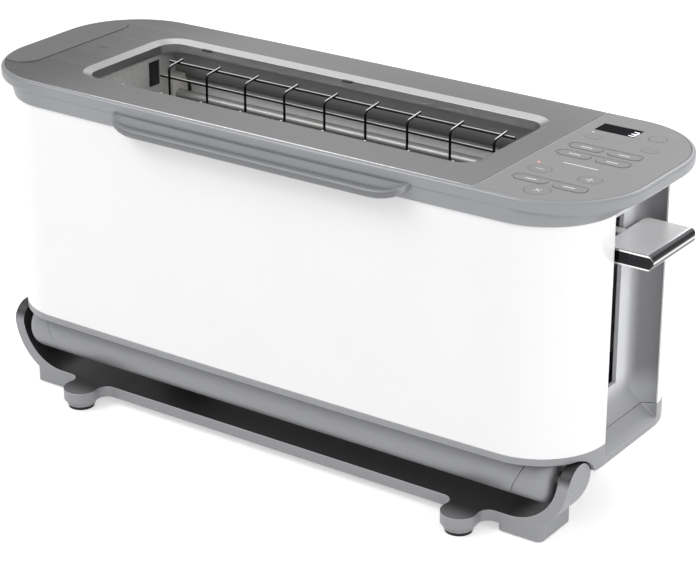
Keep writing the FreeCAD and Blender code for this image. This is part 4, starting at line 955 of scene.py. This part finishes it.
class Icon(Enum):
    """The plain signs on the panel, each as the strokes that it is made of."""

    BAR = (Stroke(7.6, 0.95),)
    MINUS = (Stroke(),)
    PLUS = (Stroke(), Stroke(turn=90.0))
    CROSS = (Stroke(turn=45.0), Stroke(turn=-45.0))
    STANDBY = (Stroke(2.88, 0.525, turn=90.0, back=1.62),)
    WAVES = tuple(Stroke(3.6, 0.45, back=rise) for rise in (-1.2, 0.0, 1.2))
    START = (Stroke(2.0, 0.45, turn=-40.0, right=0.5, back=0.6),
             Stroke(2.0, 0.45, turn=40.0, right=0.5, back=-0.6))


@dataclass(frozen=True)
class Sign:
    """One sign and the key that it stands on."""

    icon: Icon
    body: str
    x: float
    y: float


@dataclass
class ControlPanel:
    """Panel, keys, window and everything printed or lit on them."""

    nodes: dict[str, Object]
    signs: tuple[Sign, ...] = (
        Sign(Icon.BAR, "row1_left", 170.3, 92.2), Sign(Icon.BAR, "row1_right", 194.8, 92.0),
        Sign(Icon.BAR, "row2_left", 170.3, 78.4), Sign(Icon.BAR, "row2_right", 194.8, 78.2),
        Sign(Icon.BAR, "row3_left", 170.4, 29.6), Sign(Icon.BAR, "row3_right", 194.6, 29.7),
        Sign(Icon.MINUS, "minus", 166.3, 46.6), Sign(Icon.PLUS, "plus", 198.3, 46.5),
        Sign(Icon.CROSS, "cancel", 182.4, 16.6), Sign(Icon.STANDBY, "power", 197.2, 128.3),
        Sign(Icon.WAVES, "unit", 164.6, 110.6), Sign(Icon.START, "start", 202.9, 107.5))
    long_bar: tuple[float, float, float, float] = (182.9, 63.3, 22.4, 0.95)
    slashes: tuple[Point, ...] = ((182.5, 92.5), (182.4, 79.5), (182.3, 31.2))
    slash: Stroke = Stroke(3.2, 0.4, turn=65.0)
    dish: float = DECK - 0.3
    dish_root: float = 0.2
    oval: tuple[float, float, float] = (182.1, 109.5, 6.3)
    oval_line: float = 0.35
    oval_squeeze: float = 0.36
    standby_radius: float = 1.98
    standby_line: float = 0.375
    standby_start: float = 120.0
    standby_sweep: float = 300.0
    digit: tuple[float, float, float, float] = (179.2, 124.3, 4.3, 7.9)
    digit_line: float = 1.0
    digit_lean: float = 0.06
    digit_steps: int = 2
    digit_root: float = 0.3
    bar_inset: float = 0.5
    post_gap: float = 0.4
    glass_top: float = DECK - 0.1

    def light(self, icon: Icon) -> Finish:
        """Chooses a sign's finish.

        Args:
            icon: The sign.

        Returns:
            A lit bar, a white print or a faint one.
        """
        if icon is Icon.BAR:
            return BAR_LIGHT
        return PRINT_WHITE if icon in (Icon.MINUS, Icon.PLUS, Icon.CROSS) else PRINT_FAINT

    def add_signs(self) -> None:
        """Prints or lights each sign on its key."""
        for sign in self.signs:
            mesh = bmesh.new()
            for index, stroke in enumerate(sign.icon.value):
                add_prism(mesh, stroke.outline(sign.x, sign.y), KEY_TOP - ROOT,
                          KEY_TOP + stand(index))
            if sign.icon is Icon.STANDBY:
                add_ring(mesh, (sign.x, sign.y), self.standby_radius, self.standby_line,
                         KEY_TOP - ROOT, KEY_TOP + PRINT, self.standby_start,
                         self.standby_sweep)
            piece = add_piece(f"{sign.body}_sign", mesh, self.light(sign.icon))
            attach(piece, f"{sign.body}_key_cap")

    def add_prints(self) -> None:
        """Prints the long bar, the slashes and the oval on the panel."""
        mesh = bmesh.new()
        add_prism(mesh, pill_points(*self.long_bar), DECK - ROOT, DECK + PRINT)
        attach(add_piece("panel_long_bar", mesh, BAR_LIGHT), "housing")
        mesh = bmesh.new()
        for x, y in self.slashes:
            add_prism(mesh, self.slash.outline(x, y), self.dish - self.dish_root,
                      self.dish + PRINT)
        x, y, radius = self.oval
        add_ring(mesh, (x, y), radius, self.oval_line, DECK - ROOT, DECK + PRINT,
                 squeeze=self.oval_squeeze)
        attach(add_piece("panel_faint_prints", mesh, PRINT_FAINT), "housing")

    def digit_bar(self, mesh: Mesh, right: float, share: float, length: float, index: int) -> None:
        """Adds one segment of the digit, lying if its index is 0 and standing otherwise.

        Args:
            mesh: The shape that it is added to.
            right: Distance of the segment's middle from the digit's left edge.
            share: How far up the digit the segment's middle is, from 0 to 1.
            length: The segment's length.
            index: How far its face stands out.
        """
        x, y, _, tall = self.digit
        rise = self.digit_line / 2 + share * (tall - self.digit_line)
        turn = 90.0 - math.degrees(self.digit_lean) if index else 0.0
        add_prism(mesh, pill_points(x + right + self.digit_lean * rise, y + rise, length,
                                    self.digit_line, turn, self.digit_steps),
                  self.glass_top - self.digit_root, self.glass_top + stand(index))

    def add_digit(self) -> None:
        """Lights the slice counter's 3 in the window."""
        mesh = bmesh.new()
        wide, tall = self.digit[2:]
        for share in (0.0, 0.5, 1.0):
            self.digit_bar(mesh, wide / 2, share, wide - self.bar_inset, 0)
        for share in (0.25, 0.75):
            self.digit_bar(mesh, wide - self.digit_line / 2, share,
                           (tall - self.digit_line) / 2 - self.post_gap, 2)
        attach(add_piece("window_digit", mesh, DIGIT_LIGHT), "housing")

    def build(self) -> None:
        """Dresses the panel and its keys, then adds what is printed or lit."""
        dress(self.nodes, PANEL_MATT, ("control_panel",))
        dress(self.nodes, KEY_MATT, [f"{sign.body}_key" for sign in self.signs])
        dress(self.nodes, GLASS_SMOKED, ("display_window",))
        dress(self.nodes, BOARD_GREEN, ("display_board", "key_board", "power_board"))
        dress(self.nodes, LAMPS, ("status_lights",))
        self.add_signs()
        self.add_prints()
        self.add_digit()


@dataclass
class Chamber:
    """What shows through the slot: end plates, reflectors, heaters and wire guards."""

    nodes: dict[str, Object]

    def build(self) -> None:
        """Dresses the chamber."""
        dress(self.nodes, CHAMBER_DULL, ("left_end_plate", "right_end_plate"))
        dress(self.nodes, REFLECTOR_PAINTED_LIGHT_AND_SHADE, ("front_reflector", "rear_reflector"))
        dress(self.nodes, LINER_DULL, ("throat_liner",))
        dress(self.nodes, QUARTZ, ("front_heaters", "rear_heaters"))
        dress(self.nodes, CERAMIC, ("heater_holders",))
        dress(self.nodes, WIRE, ("front_guard", "rear_guard"))


@dataclass
class Lift:
    """Lever, carriage, bread rack, latch and return spring."""

    nodes: dict[str, Object]
    spring_x: float = 191.5
    spring_y: float = 88.0
    spring_low: float = 153.0
    spring_high: float = 197.0
    spring_radius: float = 2.9
    spring_wire: float = 0.5
    spring_turns: int = 14
    turn_steps: int = 16

    def add_spring(self) -> None:
        """Winds the return spring between the carriage's lug and the shelf."""
        steps = self.spring_turns * self.turn_steps
        low = self.spring_low + self.spring_wire
        high = self.spring_high - self.spring_wire
        path = []
        for step in range(steps + 1):
            angle = 2 * math.pi * step / self.turn_steps
            path.append(place(self.spring_x + self.spring_radius * math.cos(angle),
                              self.spring_y + self.spring_radius * math.sin(angle),
                              low + step / steps * (high - low)))
        mesh = bmesh.new()
        add_tube(mesh, path, self.spring_wire * MM)
        piece = add_piece("spring_coil", mesh, SPRING_STEEL, smooth=True)
        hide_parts("return_spring")
        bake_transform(piece)

    def build(self) -> None:
        """Dresses the lift's steel and chrome and winds the spring."""
        dress(self.nodes, CHROME, ("lever_paddle", "lever_neck"))
        dress(self.nodes, CHAMBER_DULL, ("carriage_plate", "rod_bracket", "latch_keeper"))
        dress(self.nodes, WIRE, ("bread_rack",))
        dress(self.nodes, ROD_STEEL, ("guide_rods", "latch_magnet"))
        self.add_spring()


@dataclass
class Stand:
    """Cradle, feet and pins that stay on the counter."""

    nodes: dict[str, Object]

    def build(self) -> None:
        """Dresses the stand."""
        dress(self.nodes, CRADLE_SATIN, ("base_cradle",))
        dress(self.nodes, RUBBER, ("front_feet", "rear_feet"))
        dress(self.nodes, ROD_STEEL, ("pivot_pins",))


@dataclass
class CrumbTray:
    """The tray and its front, which is part of the barrel."""

    nodes: dict[str, Object]

    def build(self) -> None:
        """Dresses the tray."""
        dress(self.nodes, TRAY_SATIN, ("tray_front",))
        dress(self.nodes, CHAMBER_DULL, ("tray_pan",))


@dataclass(frozen=True)
class Lamp:
    """One soft box: where it hangs, its size and power, and whether gloss mirrors it."""

    name: str
    spot: tuple[float, float, float]
    size: tuple[float, float]
    power: float
    mirrored: bool = True


@dataclass
class Studio:
    """Floor, sky, lamps and camera."""

    aim: tuple[float, float, float] = (0.0, 0.0, 0.1)
    eye: tuple[float, float, float] = (0.7806, -1.0965, 0.6711)
    yaw: float = 34.94
    pitch: float = 23.195
    lens: float = 120.0
    sensor: float = 36.0
    sight: Point = (0.05, 50.0)
    white: tuple[float, float, float, float] = (1.0, 1.0, 1.0, 1.0)
    floor_reach: float = 6.0
    floor_cells: int = 8
    floor_shade: float = 0.86
    floor_rough: float = 0.7
    floor_specular: float = 0.1
    floor_glow: float = 0.5
    sky: float = 0.65
    lamps: tuple[Lamp, ...] = (
        Lamp("key_box", (-1.1, -1.3, 1.9), (1.4, 1.0), 19.0),
        Lamp("side_box", (1.9, -0.2, 1.0), (1.0, 1.2), 12.0, mirrored=False),
        Lamp("back_box", (0.2, 1.8, 1.4), (1.8, 0.7), 10.0))

    def background_mask(self, tree: Tree) -> Socket:
        """Finds the rays that show the background itself or its mirror image.

        Args:
            tree: The tree of the floor or the sky.

        Returns:
            One for such rays and zero for others.
        """
        path = tree.add("ShaderNodeLightPath").outputs
        seen = tree.reckon("MAXIMUM", path["Is Camera Ray"], path["Is Glossy Ray"])
        return tree.reckon("MAXIMUM", seen, path["Is Transmission Ray"])

    def add_floor(self) -> None:
        """Lays a pale floor that still takes the object's shadow."""
        mesh = bmesh.new()
        bmesh.ops.create_grid(mesh, x_segments=self.floor_cells, y_segments=self.floor_cells,
                              size=self.floor_reach)
        data = bpy.data.meshes.new("studio_floor")
        mesh.to_mesh(data)
        mesh.free()
        floor = bpy.data.objects.new("studio_floor", data)
        bpy.context.scene.collection.objects.link(floor)
        made = bpy.data.materials.new("studio_floor")
        made.use_nodes = True
        tree = Tree(made.node_tree)
        shader = made.node_tree.nodes["Principled BSDF"]
        for name, value in (("Base Color", (*grey(self.floor_shade), 1.0)),
                            ("Roughness", self.floor_rough),
                            ("Specular IOR Level", self.floor_specular),
                            ("Emission Color", self.white)):
            shader.inputs[name].default_value = value
        glow = tree.reckon("MULTIPLY", self.background_mask(tree), self.floor_glow)
        tree.link(glow, shader, "Emission Strength")
        data.materials.append(made)

    def add_sky(self) -> None:
        """Gives even white light all round, and pure white where the camera sees it."""
        world = bpy.data.worlds.new("studio_sky")
        world.use_nodes = True
        bpy.context.scene.world = world
        tree = Tree(world.node_tree)
        back = world.node_tree.nodes["Background"]
        back.inputs["Color"].default_value = self.white
        level = tree.remap(self.background_mask(tree), 0.0, 1.0, self.sky, 1.0)
        tree.link(level, back, "Strength")

    def add_lamps(self) -> None:
        """Hangs the soft boxes."""
        for lamp in self.lamps:
            light = bpy.data.lights.new(lamp.name, "AREA")
            light.shape = "RECTANGLE"
            light.size, light.size_y = lamp.size
            light.energy = lamp.power
            box = bpy.data.objects.new(lamp.name, light)
            box.location = lamp.spot
            look = Vector(self.aim) - Vector(lamp.spot)
            box.rotation_mode = "QUATERNION"
            box.rotation_quaternion = look.to_track_quat("-Z", "Y")
            box.visible_glossy = lamp.mirrored
            bpy.context.scene.collection.objects.link(box)

    def add_camera(self) -> None:
        """Stands the camera where the photograph was taken from."""
        data = bpy.data.cameras.new("photo_camera")
        data.sensor_width = self.sensor
        data.lens = self.lens
        data.clip_start, data.clip_end = self.sight
        camera = bpy.data.objects.new("photo_camera", data)
        camera.location = self.eye
        camera.rotation_euler = (math.radians(90.0 - self.pitch), 0.0, math.radians(self.yaw))
        bpy.context.scene.collection.objects.link(camera)
        bpy.context.scene.camera = camera

    def build(self) -> None:
        """Sets the stage."""
        bpy.context.scene.view_settings.view_transform = "Standard"
        self.add_camera()
        self.add_floor()
        self.add_sky()
        self.add_lamps()


def main() -> None:
    """Builds every sub-assembly in order and reports each."""
    logging.basicConfig(level=logging.INFO, format="%(name)s: %(message)s")
    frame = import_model()
    nodes = frame["nodes"]
    for part in (Studio(), Housing(nodes), Deck(nodes), ControlPanel(nodes), Chamber(nodes),
                 Lift(nodes), Stand(nodes), CrumbTray(nodes)):
        part.build()
        log.info("%s finished", type(part).__name__)


if __name__ == "__main__":
    main()
